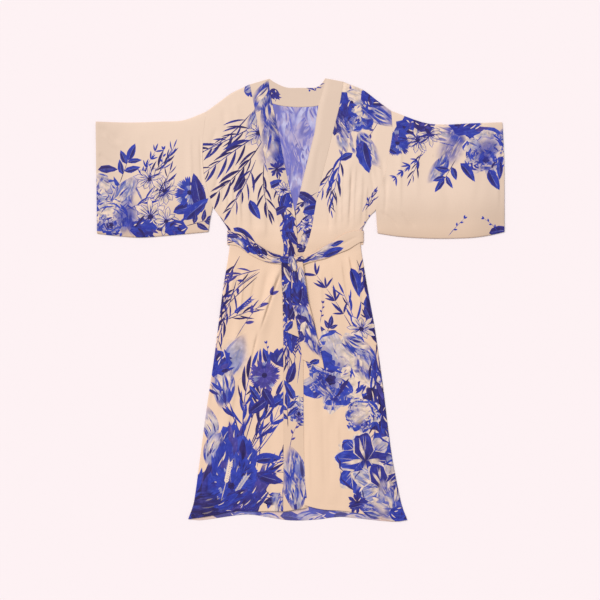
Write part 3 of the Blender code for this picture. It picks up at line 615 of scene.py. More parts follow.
    ],
    "sleeve_left": [
        ("shade", 330, 516, 110, 10, "royal"), ("fringed", 292, 470, 84, 20, "royal"),
        ("leaf", 296, 440, 60, 150, "royal"), ("wash", 470, 490, 150, 170, "royal"),
        ("wash", 500, 516, 150, 176, "royal"), ("daisy", 352, 480, 92, 0, "mist"),
        ("daisy", 388, 500, 80, 30, "petal"), ("shade", 370, 530, 80, 0, "indigo"),
        ("twig", 420, 500, 110, -160, "indigo"), ("cloud", 452, 450, 90, 60, "smear"),
        ("flow", 440, 440, 110, -110, "sky"), ("rose", 560, 446, 150, 40, "petal"),
        ("cloud", 560, 450, 80, 40, "royal"), ("shade", 500, 524, 110, 0, "royal"),
        ("flow", 590, 500, 120, 0, "sky"), ("spray", 466, 420, 100, -120, "royal"),
        ("leaf", 480, 410, 70, -40, "royal"), ("bamboo", 372, 440, 110, -140, "royal"),
        ("twig", 366, 446, 90, -110, "indigo"), ("leaf", 566, 392, 70, -70, "royal"),
        ("leaf", 596, 420, 60, -80, "royal"), ("bud", 444, 192, 70, 50, "royal"),
        ("leaf", 566, 200, 70, 16, "indigo"), ("bud", 596, 200, 60, 120, "royal"),
    ],
    "back": [
        ("shade", -30, 560, 170, -80, "royal"), ("shade", 34, 500, 170, -90, "indigo"),
        ("shade", -20, 430, 150, -84, "royal"), ("shade", 4, 340, 130, -90, "night"),
        ("wash", -10, 560, 150, -90, "violet"), ("flow", 50, 520, 150, -94, "chalk"),
        ("wash", -60, 470, 190, -80, "royal"), ("flow", 20, 380, 230, -88, "violet"),
        ("wash", 0, 460, 210, -80, "sky"), ("cloud", -40, 580, 50, -80, "chalk"),
        ("cloud", 40, 570, 44, -100, "chalk"), ("flow", -44, 600, 90, -80, "chalk"),
        ("flow", 20, 596, 100, -100, "chalk"), ("wash", 36, 510, 90, -100, "chalk"),
        ("wash", -40, 520, 100, -84, "chalk"), ("cloud", 30, 440, 40, -80, "chalk"),
        ("flow", -20, 470, 110, -80, "violet"), ("flow", 34, 556, 90, -110, "night"),
        ("bud", 10, 410, 80, -80, "chalk"), ("flow", 12, 430, 120, -96, "night"),
        ("wash", 0, 320, 170, -90, "violet"), ("flow", 44, 604, 110, -104, "chalk"),
        ("flow", -52, 568, 90, -72, "chalk"), ("flow", 20, 470, 80, -104, "chalk"),
        ("wash", -10, 380, 80, -90, "chalk"), ("bud", -20, 500, 90, -70, "night"),
        ("leaf", -180, 420, 170, 70, "royal"), ("twig", 190, 300, 210, 80, "indigo"),
        ("twig", -120, 320, 230, 130, "indigo"), ("leaf", 100, 80, 130, 200, "royal"),
        ("bamboo", -60, -60, 230, 80, "indigo"), ("leaf", -20, -230, 150, -60, "royal"),
        ("twig", 60, -60, 220, -60, "indigo"), ("leaf", 180, -120, 130, 80, "indigo"),
        ("flow", 20, -630, 240, 0, "mist"), ("leaf", 60, -520, 150, 60, "royal"),
        ("twig", 30, -400, 230, 80, "royal"), ("spray", -110, -430, 150, 100, "royal"),
        ("shade", -180, -640, 160, 0, "indigo"), ("shade", 60, -650, 120, 0, "royal"),
        ("flow", -210, -652, 90, 4, "sky"), ("flow", -130, -650, 90, -4, "cream"),
        ("leaf", -60, -648, 70, 4, "indigo"), ("flow", -16, -650, 90, 2, "mist"),
        ("flow", 70, -652, 80, 178, "mist"), ("leaf", 100, -648, 60, 6, "night"),
        ("flow", 130, -650, 90, -4, "cream"), ("leaf", 200, -646, 70, 4, "indigo"),
    ],
    "belt_right": [
        ("shade", 20, 30, 60, 10, "royal"), ("leaf", 30, 40, 60, 20, "indigo"),
        ("twig", 60, 12, 90, 14, "indigo"), ("leaf", 84, 44, 60, -30, "petal"),
        ("shade", 104, 36, 60, 0, "night"), ("leaf", 110, 14, 70, 16, "royal"),
        ("twig", 130, 40, 80, -16, "indigo"), ("wash", 60, 14, 60, 0, "mist"),
        ("shade", 150, 22, 60, 0, "royal"), ("stalk", -6, 8, 200, 2, "indigo"),
        ("stalk", 0, 30, 210, -2, "night"), ("flow", 150, 12, 70, 12, "sky"),
        ("leaf", 176, 36, 50, -10, "indigo"), ("twig", 180, 14, 60, 6, "royal"),
    ],
    "belt_left": [
        ("flow", 30, 26, 90, 0, "royal"), ("leaf", 20, 14, 66, 16, "royal"),
        ("twig", 40, 40, 80, -6, "indigo"), ("wash", 86, 30, 90, 4, "sky"),
        ("leaf", 90, 12, 70, 10, "royal"), ("leaf", 120, 40, 46, -14, "royal"),
    ],
    "belt_behind": [
        ("leaf", -150, 190, 80, 20, "royal"), ("twig", -60, 180, 120, 10, "indigo"),
        ("rose", 60, 190, 90, 0, "petal"), ("leaf", 110, 180, 90, 10, "indigo"),
    ],
    "knot": [
        ("shade", -48, 122, 52, -10, "royal"), ("shade", -40, 116, 40, -20, "royal"),
        ("leaf", -58, 124, 44, -12, "indigo"), ("flow", -30, 136, 64, -72, "mist"),
        ("leaf", -26, 112, 44, -78, "cream"), ("stalk", -30, 132, 50, -74, "royal"),
        ("stalk", -12, 124, 44, -80, "night"), ("leaf", -12, 118, 44, 12, "indigo"),
        ("stalk", -10, 128, 36, -4, "night"), ("leaf", 2, 126, 30, 10, "cream"),
    ],
    "tail_over": [
        ("flow", 10, 14, 80, 6, "cream"), ("leaf", 20, 42, 60, -8, "indigo"),
        ("stalk", 12, 28, 64, 10, "night"), ("leaf", 44, 8, 50, 20, "mist"),
        ("shade", 92, 28, 84, 10, "royal"), ("shade", 92, 10, 66, 0, "royal"),
        ("leaf", 70, 40, 84, -10, "royal"), ("leaf", 76, 12, 80, 8, "indigo"),
        ("shade", 118, 42, 50, 0, "indigo"), ("flow", 126, 18, 120, 10, "mist"),
        ("wash", 176, 40, 90, 16, "royal"), ("shade", 192, 36, 70, 10, "indigo"),
        ("flow", 172, 10, 120, 2, "royal"), ("leaf", 180, 24, 80, 14, "cream"),
        ("shade", 238, 14, 60, 0, "royal"), ("wash", 222, 18, 90, -8, "royal"),
        ("leaf", 216, 40, 60, 24, "indigo"), ("stalk", 150, 4, 130, 0, "indigo"),
        ("leaf", 288, 8, 40, 40, "royal"),
    ],
    "tail_under": [
        ("shade", 30, 34, 76, 0, "night"), ("shade", 36, 12, 66, 0, "indigo"),
        ("leaf", 16, 40, 50, -34, "cream"), ("shade", 86, 34, 76, 0, "royal"),
        ("shade", 92, 12, 64, 0, "royal"), ("leaf", 66, 30, 36, 40, "cream"),
        ("leaf", 76, 12, 60, 6, "royal"), ("leaf", 112, 40, 50, -20, "mist"),
        ("shade", 142, 28, 76, 0, "indigo"), ("leaf", 130, 10, 56, 24, "night"),
        ("twig", 150, 40, 60, -6, "royal"), ("leaf", 176, 20, 50, 30, "royal"),
    ],
}


# Curves and distances

def flowing(points, step):
    """The smooth curve through the points, with a point at about every step."""
    p = np.asarray(points, float)
    t = np.concatenate([[0], np.cumsum(np.linalg.norm(np.diff(p, axis=0), axis=1))])
    slope = np.gradient(p, t, axis=0)
    at = np.linspace(0, t[-1], max(2, round(t[-1] / step) + 1))
    k = np.clip(np.searchsorted(t, at, side="right") - 1, 0, len(t) - 2)
    h = (t[k + 1] - t[k])[:, None]
    u = ((at - t[k])[:, None]) / h
    return (p[k] * (2 * u**3 - 3 * u**2 + 1) + p[k + 1] * (3 * u**2 - 2 * u**3)
            + slope[k] * h * (u**3 - 2 * u**2 + u) + slope[k + 1] * h * (u**3 - u**2))


def sideways(line):
    """The direction to the left of a line at each of its points."""
    ahead = np.gradient(line, axis=0)
    length = np.maximum(np.linalg.norm(ahead, axis=1), 1e-6)
    return np.stack([-ahead[:, 1], ahead[:, 0]], 1) / length[:, None]


def corner_runs(loop):
    """A closed line cut at its corners into runs that share their ends."""
    p = np.asarray(loop)
    ahead = np.roll(p, -1, axis=0)[:, :2] - p[:, :2]
    behind = p[:, :2] - np.roll(p, 1, axis=0)[:, :2]
    cross = behind[:, 0] * ahead[:, 1] - behind[:, 1] * ahead[:, 0]
    bend = np.abs(np.arctan2(cross, (behind * ahead).sum(1)))
    corners = [k for k in range(len(p)) if bend[k] > CORNER_TURN]
    ends = corners[1:] + [corners[0] + len(p)]
    return [p[[k % len(p) for k in range(a, b + 1)]] for a, b in zip(corners, ends)]


def length_of(line):
    return float(np.linalg.norm(np.diff(line[:, :2], axis=0), axis=1).sum())


def closed(line):
    return np.vstack([line, line[:1]])


def tree_of(points):
    """A tree that finds the nearest of these flat points."""
    tree = KDTree(len(points))
    for k, p in enumerate(points):
        tree.insert((*p, 0), k)
    tree.balance()
    return tree


def distance(line, x, y, spacing=0.5):
    """How far each (x, y) is from a line."""
    line = np.asarray(line)[:, :2]
    t = np.concatenate([[0], np.cumsum(np.linalg.norm(np.diff(line, axis=0), axis=1))])
    at = np.concatenate([t, np.linspace(0, t[-1], int(t[-1] / spacing) + 2)])
    tree = tree_of(np.column_stack([np.interp(at, t, line[:, k]) for k in (0, 1)]))
    return np.array([tree.find((a, b, 0))[2] for a, b in zip(x, y)])


def twice_area(a, b, c):
    """Twice the area of flat triangles, each corner given as its x and y. It is negative when clockwise."""
    return (b[0] - a[0]) * (c[1] - a[1]) - (b[1] - a[1]) * (c[0] - a[0])


def ease(t):
    """0 below 0, 1 above 1 and smooth between."""
    t = np.clip(t, 0, 1)
    return t * t * (3 - 2 * t)


# Creases, finer than the folds that the frame has: soft ridges and troughs, and leaning ones whose far side,
# to the right of a line drawn downwards, is this share as wide as the near one
Crease = namedtuple("Crease", "x0 y0 x1 y1 width height lean", defaults=(1.0,))
CREASES = [
    # right front, above the belt
    Crease(-222, 330, -219, 220, 9.0, 1.8, 0.3), Crease(-204, 430, -200, 224, 10.0, 2.3, 0.26),
    Crease(-181, 400, -176, 214, 11.0, 2.6, 0.24), Crease(-154, 330, -149, 200, 13.0, 1.7, 0.3),
    Crease(-106, 280, -108, 180, 22.0, 2.4, 0.3), Crease(-190, 300, -187, 206, 4.0, -1.4),
    Crease(-236, 420, -262, 300, 6.0, -2.0), Crease(-252, 520, -276, 420, 7.0, -1.4),
    Crease(-168, 470, -150, 330, 9.0, -1.3), Crease(-228, 400, -242, 270, 6.0, 1.8, 0.4),
    # and below it
    Crease(-60, 98, -128, -100, 17.0, 4.6, 0.24), Crease(-92, 96, -126, -40, 7.0, -1.1),
    Crease(-130, -84, -166, -256, 15.0, 2.7, 0.3), Crease(-134, 100, -160, -44, 11.0, 1.7, 0.3),
    Crease(-166, 104, -180, -70, 12.0, 2.4, 0.22), Crease(-180, -70, -220, -256, 16.0, 2.1, 0.3),
    Crease(-192, 112, -222, -70, 6.0, 1.7), Crease(-211, 104, -246, -96, 10.0, 2.1, 0.26),
    Crease(-217, -150, -248, -360, 13.0, 2.1, 0.34), Crease(-240, -130, -266, -330, 6.0, -1.6),
    Crease(-190, -230, -224, -434, 14.0, 2.0, 0.34), Crease(-160, -340, -186, -580, 16.0, 2.0, 0.34),
    Crease(-236, -380, -272, -570, 12.0, 2.1, 0.34), Crease(-140, -430, -142, -612, 8.0, -1.6),
    Crease(-262, -480, -302, -630, 9.0, 2.0, 0.5), Crease(-84, -200, -84, -420, 9.0, -1.1),
    Crease(-92, -440, -98, -626, 16.0, 1.3, 0.4), Crease(-54, 94, -121, -100, 3.2, -2.8),
    Crease(-124, -92, -160, -250, 3.2, -1.8), Crease(-176, 100, -189, -60, 3.2, -1.6),
    # left front, above the belt
    Crease(148, 408, 141, 206, 15.0, 3.0, 0.34), Crease(185, 390, 178, 214, 14.0, 2.7, 0.34),
    Crease(107, 346, 103, 202, 15.0, 2.1, 0.34), Crease(167, 420, 160, 206, 6.0, 1.4, 0.4),
    Crease(127, 386, 122, 200, 7.0, 1.4, 0.4), Crease(203, 350, 193, 218, 8.0, 1.8, 0.34),
    Crease(212, 404, 223, 290, 5.0, -1.7), Crease(84, 300, 88, 196, 5.0, -1.4),
    Crease(216, 474, 236, 344, 7.0, -1.4), Crease(242, 440, 262, 300, 6.0, -1.4),
    # and below it
    Crease(62, 98, 69, -74, 13.0, 1.7, 0.3), Crease(90, 108, 108, -84, 13.0, 1.8, 0.3),
    Crease(122, 126, 141, -44, 11.0, 2.1, 0.28), Crease(143, 138, 159, 36, 8.0, 2.6, 0.3),
    Crease(165, 132, 189, -64, 9.0, 2.4, 0.3), Crease(184, 122, 220, -124, 10.0, 2.0, 0.3),
    Crease(204, 116, 234, -70, 5.0, -1.7), Crease(60, -310, 64, -612, 20.0, 1.6, 0.4),
    Crease(112, -340, 118, -612, 18.0, 2.0, 0.36), Crease(86, -330, 90, -600, 9.0, -1.1),
    Crease(162, -360, 178, -600, 14.0, 1.7, 0.4), Crease(206, -240, 242, -564, 13.0, 2.0, 0.36),
    Crease(236, -300, 282, -624, 12.0, 2.1, 0.36), Crease(26, -380, 28, -600, 12.0, 1.1, 0.4),
    Crease(264, -360, 309, -602, 10.0, 1.7, 0.4), Crease(149, 136, 165, 36, 3.2, -2.2),
    Crease(191, 122, 226, -110, 3.2, -1.8), Crease(154, 400, 147, 210, 3.2, -1.8),
    # right sleeve
    Crease(-602, 522, -528, 466, 9.0, -1.8), Crease(-592, 500, -546, 452, 6.0, 1.3),
    Crease(-606, 442, -558, 398, 8.0, -1.4), Crease(-470, 500, -440, 330, 14.0, -1.3),
    Crease(-392, 490, -404, 300, 11.0, 1.0), Crease(-332, 510, -322, 232, 12.0, 1.7, 0.4),
    Crease(-301, 500, -288, 290, 5.0, -1.7),
    # left sleeve
    Crease(600, 480, 592, 262, 10.0, 1.8, 0.4), Crease(562, 470, 520, 250, 14.0, -1.3),
    Crease(420, 424, 452, 240, 14.0, -1.0), Crease(238, 270, 302, 213, 5.0, -1.7),
    Crease(262, 292, 332, 220, 6.0, 1.3), Crease(300, 264, 352, 214, 5.0, -1.4),
    Crease(348, 480, 352, 282, 9.0, 1.1), Crease(306, 500, 298, 252, 10.0, 1.6, 0.4),
    Crease(264, 380, 251, 242, 5.0, -1.6),
    # shoulders and bands
    Crease(-232, 580, -214, 460, 8.0, -1.6), Crease(-196, 602, -177, 500, 9.0, 1.1),
    Crease(224, 580, 213, 450, 8.0, -1.6), Crease(186, 612, 170, 500, 9.0, 1.1),
    Crease(-98, 480, -84, 380, 7.0, -1.1), Crease(60, 470, 40, 330, 7.0, -1.1),
]
WANDER = 1.3  # how far a crease strays from its line
CREASE_STEP = 6.0  # spacing of the mesh's points along it
CREASE_ROWS = (-1.8, -1.1, -0.5, 0, 0.5, 1.1, 1.8)  # and across it, in shares of its width
CREASE_UP, CREASE_OUT = 4, 3  # it comes up over a quarter of its length and fades over the last third
SWELL = 0.25  # height of the slow swell between the creases

# Pleats of the belt and its tails in their own flat cloth, along the belt and across it
PLEATS = {
    "belt_right": [
        Crease(0, 12, 150, 16, 2.2, -1.6), Crease(0, 26, 196, 24, 2.6, -2.0),
        Crease(0, 38, 120, 40, 2.0, -1.5), Crease(120, 34, 214, 42, 2.2, -1.4),
        Crease(60, 6, 200, 6, 2.0, -0.9),
    ],
    "belt_left": [
        Crease(0, 14, 160, 12, 2.4, -1.7), Crease(0, 27, 120, 30, 2.2, -1.8),
        Crease(0, 40, 150, 42, 2.0, -1.5), Crease(110, 24, 218, 26, 3.0, -1.2),
    ],
    "tail_over": [
        Crease(0, 16, 140, 22, 2.6, -1.8), Crease(0, 34, 110, 36, 2.4, -1.6),
        Crease(70, 12, 210, 10, 4.0, -1.0), Crease(140, 34, 310, 30, 4.6, -1.0),
    ],
    "tail_under": [Crease(0, 14, 120, 16, 2.4, -1.5), Crease(10, 30, 190, 28, 3.0, -1.2)],
}
PLEAT_WANDER = 1.0


def along_creases(creases):
    """Points along each crease and beside it, so that the mesh follows it."""
    points = []
    for k, c in enumerate(creases):
        dx, dy = c.x1 - c.x0, c.y1 - c.y0
        long = math.hypot(dx, dy)
        t = np.linspace(0, 1, int(long / CREASE_STEP) + 2)
        for part in CREASE_ROWS:
            off = (part * c.width * (c.lean if part < 0 else 1) - WANDER * np.sin(5 * t + k)) / long
            points.append(np.column_stack([c.x0 + dx * t + dy * off, c.y0 + dy * t - dx * off]))
    return np.vstack(points)


def creased(x, y, creases, wander=WANDER):
    """How much the creases raise the cloth."""
    rise = np.zeros(np.shape(x))
    for k, c in enumerate(creases):
        dx, dy = c.x1 - c.x0, c.y1 - c.y0
        t = ((x - c.x0) * dx + (y - c.y0) * dy) / (dx * dx + dy * dy)
        away = ((x - c.x0) * dy - (y - c.y0) * dx) / math.hypot(dx, dy) + wander * np.sin(5 * t + k)
        wide = np.where(away > 0, c.width, c.width * c.lean)
        bump = c.height * np.exp(-(away / wide) ** 2)
        rise = rise + bump * ease(t * CREASE_UP) * ease((1 - t) * CREASE_OUT)
    return rise


def swelling(x, y):
    """A slow swell between the creases."""
    return SWELL * np.sin(x / 47 + 1.1 * np.sin(y / 130)) * np.sin(y / 110 + 0.7 * np.sin(x / 60))


# Reading the frame

SAME_POINT = 0.002  # corners of the frame's triangles this close are one
GRID = 4.0  # spacing at which the frame's height is read
GRID_BEYOND = 16.0
EVENED = ((1, 0.5), (2, 0.3), (1, 0.5))  # reach and weight of the passes that even out its flat faces
ROUNDED = 0.3  # how much the height is rounded between the readings
SLEEVE_TOP = 1.5  # a sleeve's upper layer lies above this
SLEEVE_LEVEL = 0.7  # and faces up by at least this


class Form:
    """The upper surface of a node in millimetres: its outline and its height anywhere on it."""

    def __init__(self, node, above=-1.0, level=0.3):
        bm = bmesh.new()
        bm.from_mesh(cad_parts[node].data)
        bmesh.ops.remove_doubles(bm, verts=bm.verts, dist=SAME_POINT * MM)
        bm.normal_update()
        bm.verts.ensure_lookup_table()
        up = [f for f in bm.faces if f.normal.z > level and f.calc_center_median().z > above * MM]
        heads = {v.index: [] for f in up for v in f.verts}
        self.find_faces(bm, up, list(heads))
        known = set(up)
        for face in up:
            for loop in face.loops:
                if not any(f in known for f in loop.edge.link_faces if f is not face):
                    heads[loop.vert.index].append(loop.link_loop_next.vert.index)
        self.outline = [tuple(bm.verts[k].co / MM) for k in self.longest_loop(heads)]
        bm.free()
        self.grid = self.evened_grid()

    def find_faces(self, bm, up, corners):
        """Keeps the upward faces' points and triangles, each point's slope, and a tree to find a face."""
        index = {v: k for k, v in enumerate(corners)}
        self.points = np.array([bm.verts[v].co / MM for v in corners])
        slope = np.zeros((len(index), 3))
        for face in up:
            for v in face.verts:
                slope[index[v.index]] += np.array(face.normal) * face.calc_area()
        self.slope = -slope[:, :2] / slope[:, 2:]
        self.triangles = np.array([[index[v.index] for v in face.verts] for face in up])
        flat = [Vector((x, y, 0)) for x, y, _ in self.points]
        self.tree = BVHTree.FromPolygons(flat, self.triangles.tolist())

    @staticmethod
    def longest_loop(heads):
        """The longest closed way along the border."""
        best = []
        for start in heads:
            path = [start]
            while heads[path[-1]]:
                following = heads[path[-1]].pop()
                if following in path:
                    k = path.index(following)
                    best = max(best, path[k:], key=len)
                    path = path[:k + 1]
                else:
                    path.append(following)
        return best

    def evened_grid(self):
        """The heights on a grid, evened out over the frame's flat faces."""
        self.low = self.points[:, :2].min(0) - GRID_BEYOND
        high = self.points[:, :2].max(0) + GRID_BEYOND
        columns, rows = np.ceil((high - self.low) / GRID).astype(int) + 1
        xs, ys = np.meshgrid(self.low[0] + GRID * np.arange(columns), self.low[1] + GRID * np.arange(rows))
        z = self.read(xs.ravel(), ys.ravel()).reshape(xs.shape)
        for reach, weight in EVENED:
            for axis in (0, 1):
                wide = np.pad(z, [(reach, reach) if k == axis else (0, 0) for k in (0, 1)], mode="edge")
                before = np.take(wide, range(z.shape[axis]), axis)
                after = np.take(wide, range(2 * reach, wide.shape[axis]), axis)
                z = (1 - weight) * z + weight * (before + after) / 2
        return z

    def height(self, x, y):
        """The surface's height, evened out over the frame's flat faces."""
        rows, columns = self.grid.shape
        a = np.clip((x - self.low[0]) / GRID, 0, columns - 1.001)
        b = np.clip((y - self.low[1]) / GRID, 0, rows - 1.001)
        i, j = a.astype(int), b.astype(int)
        u, v = a - i, b - j
        u, v = (t * t * (3 - 2 * t) * ROUNDED + t * (1 - ROUNDED) for t in (u, v))
        lower = self.grid[j, i] * (1 - u) + self.grid[j, i + 1] * u
        upper = self.grid[j + 1, i] * (1 - u) + self.grid[j + 1, i + 1] * u
        return lower * (1 - v) + upper * v

    def read(self, x, y):
        """The height of the frame's faces, a little rounded."""
        found = [self.tree.find_nearest(Vector((a, b, 0)))[2] for a, b in zip(x, y)]
        corner = self.points[self.triangles[found]]
        slope = self.slope[self.triangles[found]]
        p = np.stack([x, y])
        a, b, c = (corner[:, k, :2].T for k in range(3))
        area = twice_area(a, b, c)
        second, third = twice_area(a, p, c) / area, twice_area(a, b, p) / area
        weight = np.clip(np.stack([1 - second - third, second, third], 1), 0, 1)
        weight /= weight.sum(1, keepdims=True)
        flat = (weight * corner[:, :, 2]).sum(1)
        tangent = corner[:, :, 2] + ((p.T[:, None] - corner[:, :, :2]) * slope).sum(2)
        return 0.5 * flat + 0.5 * (weight * tangent).sum(1)


# Cutting and printing cloth

def printed(node, seed):
    """The patches of a piece's print."""
    brush = Brush(seed)
    for motif, x, y, size, turn, ink in PRINT[node]:
        getattr(brush, motif)(x, y, size, math.radians(turn), ink)
    return brush.patches


def facing(points):
    """The points of a closed line, turned to run anticlockwise."""
    area = sum(a[0] * b[1] - a[1] * b[0] for a, b in zip(points, points[1:] + points[:1]))
    return points if area > 0 else points[::-1]


def outwards(outline):
    """The direction out of an anticlockwise outline at each of its points."""
    ahead = np.roll(outline, -1, axis=0) - np.roll(outline, 1, axis=0)
    return np.stack([ahead[:, 1], -ahead[:, 0]], 1) / np.linalg.norm(ahead, axis=1)[:, None]


def welded(points, triangles):
    """The triangles, with points that lie close together made one where that turns no triangle over.

    A triangle that has lost a corner is None.
    """
    corners = [list(t) for t in triangles]
    around = [[] for _ in points]
    for t, three in enumerate(corners):
        for v in three:
            around[v].append(t)
    tree = tree_of(points)
    gone = [False] * len(points)

    def may_join(v, k):
        for t in around[v]:
            if corners[t] and k not in corners[t]:
                if twice_area(*(points[k if w == v else w] for w in corners[t])) < THINNEST:
                    return False
        return True

    for k, p in enumerate(points):
        if gone[k]:
            continue
        for _, v, _ in tree.find_range((*p, 0), WELD):
            if v > k and not gone[v] and may_join(v, k):
                for t in around[v]:
                    if corners[t]:
                        corners[t] = None if k in corners[t] else [k if w == v else w for w in corners[t]]
                around[k] += around[v]
                gone[v] = True
    return corners


def cut(outline, patches, step=MESH_STEP, rows=EDGE_ROWS, creases=()):
    """Flat points and triangles over the outline, cut along each patch, and those that each patch covers."""
    verts = [Vector(p) for p in outline]
    faces = [list(range(len(verts)))]
    low, high = outline.min(0), outline.max(0)
    kept = []
    for patch in patches:
        p = np.array(patch.points)
        if (p.max(0) < low).any() or (p.min(0) > high).any():
            continue
        faces.append(list(range(len(verts), len(verts) + len(p))))
        verts += [Vector(q) for q in facing([tuple(q) for q in p])]
        kept.append(patch)
    out = outwards(outline)
    for row in rows:
        verts += [Vector(p) for p in outline - out * row]
    xs, ys = np.meshgrid(np.arange(low[0], high[0], step), np.arange(low[1], high[1], step * TRIANGLE_HIGH))
    xs[1::2] += step / 2
    xs, ys = xs.ravel(), ys.ravel()
    if creases:
        beside = along_creases(creases)
        beside = beside[((beside > low) & (beside < high)).all(1)]
        xs, ys = np.concatenate([xs, beside[:, 0]]), np.concatenate([ys, beside[:, 1]])
    away = distance(closed(outline), xs, ys)
    verts += [Vector((x, y)) for x, y, d in zip(xs, ys, away) if d > 0.6 * step]
    points, _, triangles, _, _, origins = geometry.delaunay_2d_cdt(verts, [], faces, 1, SAME_CUT, True)
    inside = [k for k, o in enumerate(origins) if 0 in o]
    covered = [[] for _ in kept]
    for k, t in enumerate(inside):
        for o in origins[t]:
            if o:
                covered[o - 1].append(k)
    corners = welded(points, [triangles[k] for k in inside])
    sound = np.array([three is not None for three in corners])
    covered = [(np.cumsum(sound) - 1)[[k for k in members if sound[k]]] for members in covered]
    triangles = np.array([three for three in corners if three])
    used = np.zeros(len(points), bool)
    used[triangles] = True
    triangles = (np.cumsum(used) - 1)[triangles]
    return np.array(points)[used], triangles, list(zip(kept, covered))


# How strong a patch is along it, from 0 to 1, and across it, from -1 to 1
SOFT = {
    "full": lambda u, v: np.ones_like(u),
    "ends": lambda u, v: ease(u * 4) * ease((1 - u) * 2.5),
    "wet": lambda u, v: ease(u * 5) * ease((1 - u) * 3) * (1 - ease((np.abs(v) - 0.5) * 2)),
    "cloud": lambda u, v: 1 - ease((np.hypot(u, v) - 0.25) / 0.72),
}


def tone_and_painted_shade(node, x, y):
    """How light the ground is. The bands are a little darker, and a sleeve has painted shade towards its cuff
    and seam.
    """
    if not node.startswith("sleeve"):
        return np.full(np.shape(x), TONES.get(node, 1.0))
    # painted shade on a sleeve, darker towards its cuff and its lower seam
    shade_to_cuff = ease((np.abs(x) - CUFF_SHADE_FROM) / CUFF_SHADE_OVER)
    return 1 - CUFF_PAINTED_SHADE * shade_to_cuff - SEAM_PAINTED_SHADE * ease((SEAM_SHADE_FROM - y) / SEAM_SHADE_OVER)


def inked(node, points, triangles, covered, height):
    """The ink, lift colour and place in its shape of each triangle's corners, with all patches laid on."""
    corner = points[triangles]
    turn = ease((height[triangles] - GROUND_TURN[0]) / (GROUND_TURN[1] - GROUND_TURN[0]))[..., None]
    ink = np.array(UPPER_GROUND) * (1 - turn) + np.array(LOWER_GROUND) * turn
    # the ground's tone, with painted shade on the sleeves
    ink = ink * tone_and_painted_shade(node, corner[..., 0], corner[..., 1])[..., None]
    lift = ink * GROUND_LIFT
    marks = np.zeros_like(turn)
    place = corner * MARK_SCALE
    for patch, members in covered:
        if len(members) == 0:
            continue
        c, s = math.cos(patch.turn), math.sin(patch.turn)
        away = corner[members] - (patch.x, patch.y)
        along, across = away[..., 0] * c + away[..., 1] * s, away[..., 1] * c - away[..., 0] * s
        u, v = along / patch.length, across / patch.width * 2
        alpha = (patch.strength * SOFT[patch.soft](u, v))[..., None]
        reach = np.clip(u, 0, 1)[..., None]
        colours = INKS[patch.ink]
        tone = np.array(colours.root) * (1 - reach) + np.array(colours.tip) * reach
        ink[members] += (tone - ink[members]) * alpha
        lift[members] += (np.array(colours.lift) - lift[members]) * alpha
        marks[members] += (colours.marks - marks[members]) * alpha
        place[members] = np.stack([along, across], 2) * MARK_SCALE
    above_hem = ease((height[triangles] - HEM_PALE_FROM) / HEM_PALE_OVER)[..., None]
    paleness = HEM_PALE + (WRONG_SIDE_PALE - HEM_PALE) * above_hem
    return np.concatenate([ink, marks], 2), np.concatenate([lift, paleness], 2), place


def cloth_mesh(name, place, triangles, ink, lift, spot):
    """A mesh of placed points in millimetres, with its print."""
    mesh = bpy.data.meshes.new(name)
    mesh.from_pydata((place * MM).tolist(), [], triangles.tolist())
    for key, values in (("ink", ink), ("lift", lift)):
        layer = mesh.color_attributes.new(key, "FLOAT_COLOR", "CORNER")
        layer.data.foreach_set("color", values.astype(np.float32).ravel())
    uv = mesh.uv_layers.new(name="print")
    uv.uv.foreach_set("vector", spot.astype(np.float32).ravel())
    mesh.shade_smooth()
    return mesh


def piece(name, mesh, right_side, wrong_side, thickness=CLOTH):
    """The finished piece: its mesh with the cloth's thickness below it."""
    thing = bpy.data.objects.new(name, mesh)
    bpy.context.scene.collection.objects.link(thing)
    mesh.materials.append(right_side)
    mesh.materials.append(wrong_side)
    wall = thing.modifiers.new("thickness", "SOLIDIFY")
    wall.thickness = thickness * MM
    wall.offset = -1.0
    wall.material_offset = 1
    return thing


def lay(thing, node, area=None):
    """Puts the piece in the node's place and hides the node's part. Its area is not used."""
    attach(thing, "root")
    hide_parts(node)


def plan_area(points, triangles):
    """The flat triangles' area in square metres."""
    corners = (points[triangles[:, k]].T for k in range(3))
    return float(np.abs(twice_area(*corners)).sum() / 2) * MM * MM


def face_crosses(place, triangles):
    """The cross product of two sides of each triangle."""
    a, b, c = (place[triangles[:, k]] for k in range(3))
    return np.cross(b - a, c - a)


def rolled(away):
    """The dip along an edge."""
    return -SEAM_DIP * np.exp(-(away / SEAM_DIP_WIDTH) ** 2)


def hemmed(away):
    """The step of a turned hem and the dent of its stitching."""
    step = HEM_RISE * (1 - ease((away - HEM_WIDTH) / HEM_STEP))
    from_stitching = away - HEM_WIDTH + HEM_STITCH_IN
    return step - HEM_DENT * np.exp(-(from_stitching / HEM_DENT_WIDTH) ** 2)


def outline_of(runs, reach=SEAM_MEET):
    """The smooth outline through the runs, anticlockwise and reaching a little outwards."""
    outline = np.array(facing([tuple(p) for run in runs for p in flowing(run[:, :2], EDGE_STEP)[:-1]]))
    return outline + outwards(outline) * reach


def lowest(runs):
    return min(runs, key=lambda run: run[:, 1].mean())


def longest_two(runs):
    return sorted(runs, key=length_of)[-2:]


def layers_below(under, x, y):
    """The height of the layers below, evened out over a stretch towards the hem."""
    total = np.zeros(len(x))
    for down in EVENED_BELOW:
        top = np.zeros(len(x))
        for form, lowered in under:
            away = np.array([form.tree.find_nearest(Vector((a, b - down, 0)))[3] for a, b in zip(x, y)])
            top = np.where(away < LAYER_REACH, np.maximum(top, form.height(x, y - down) - lowered), top)
        total += top
    return total / len(EVENED_BELOW)


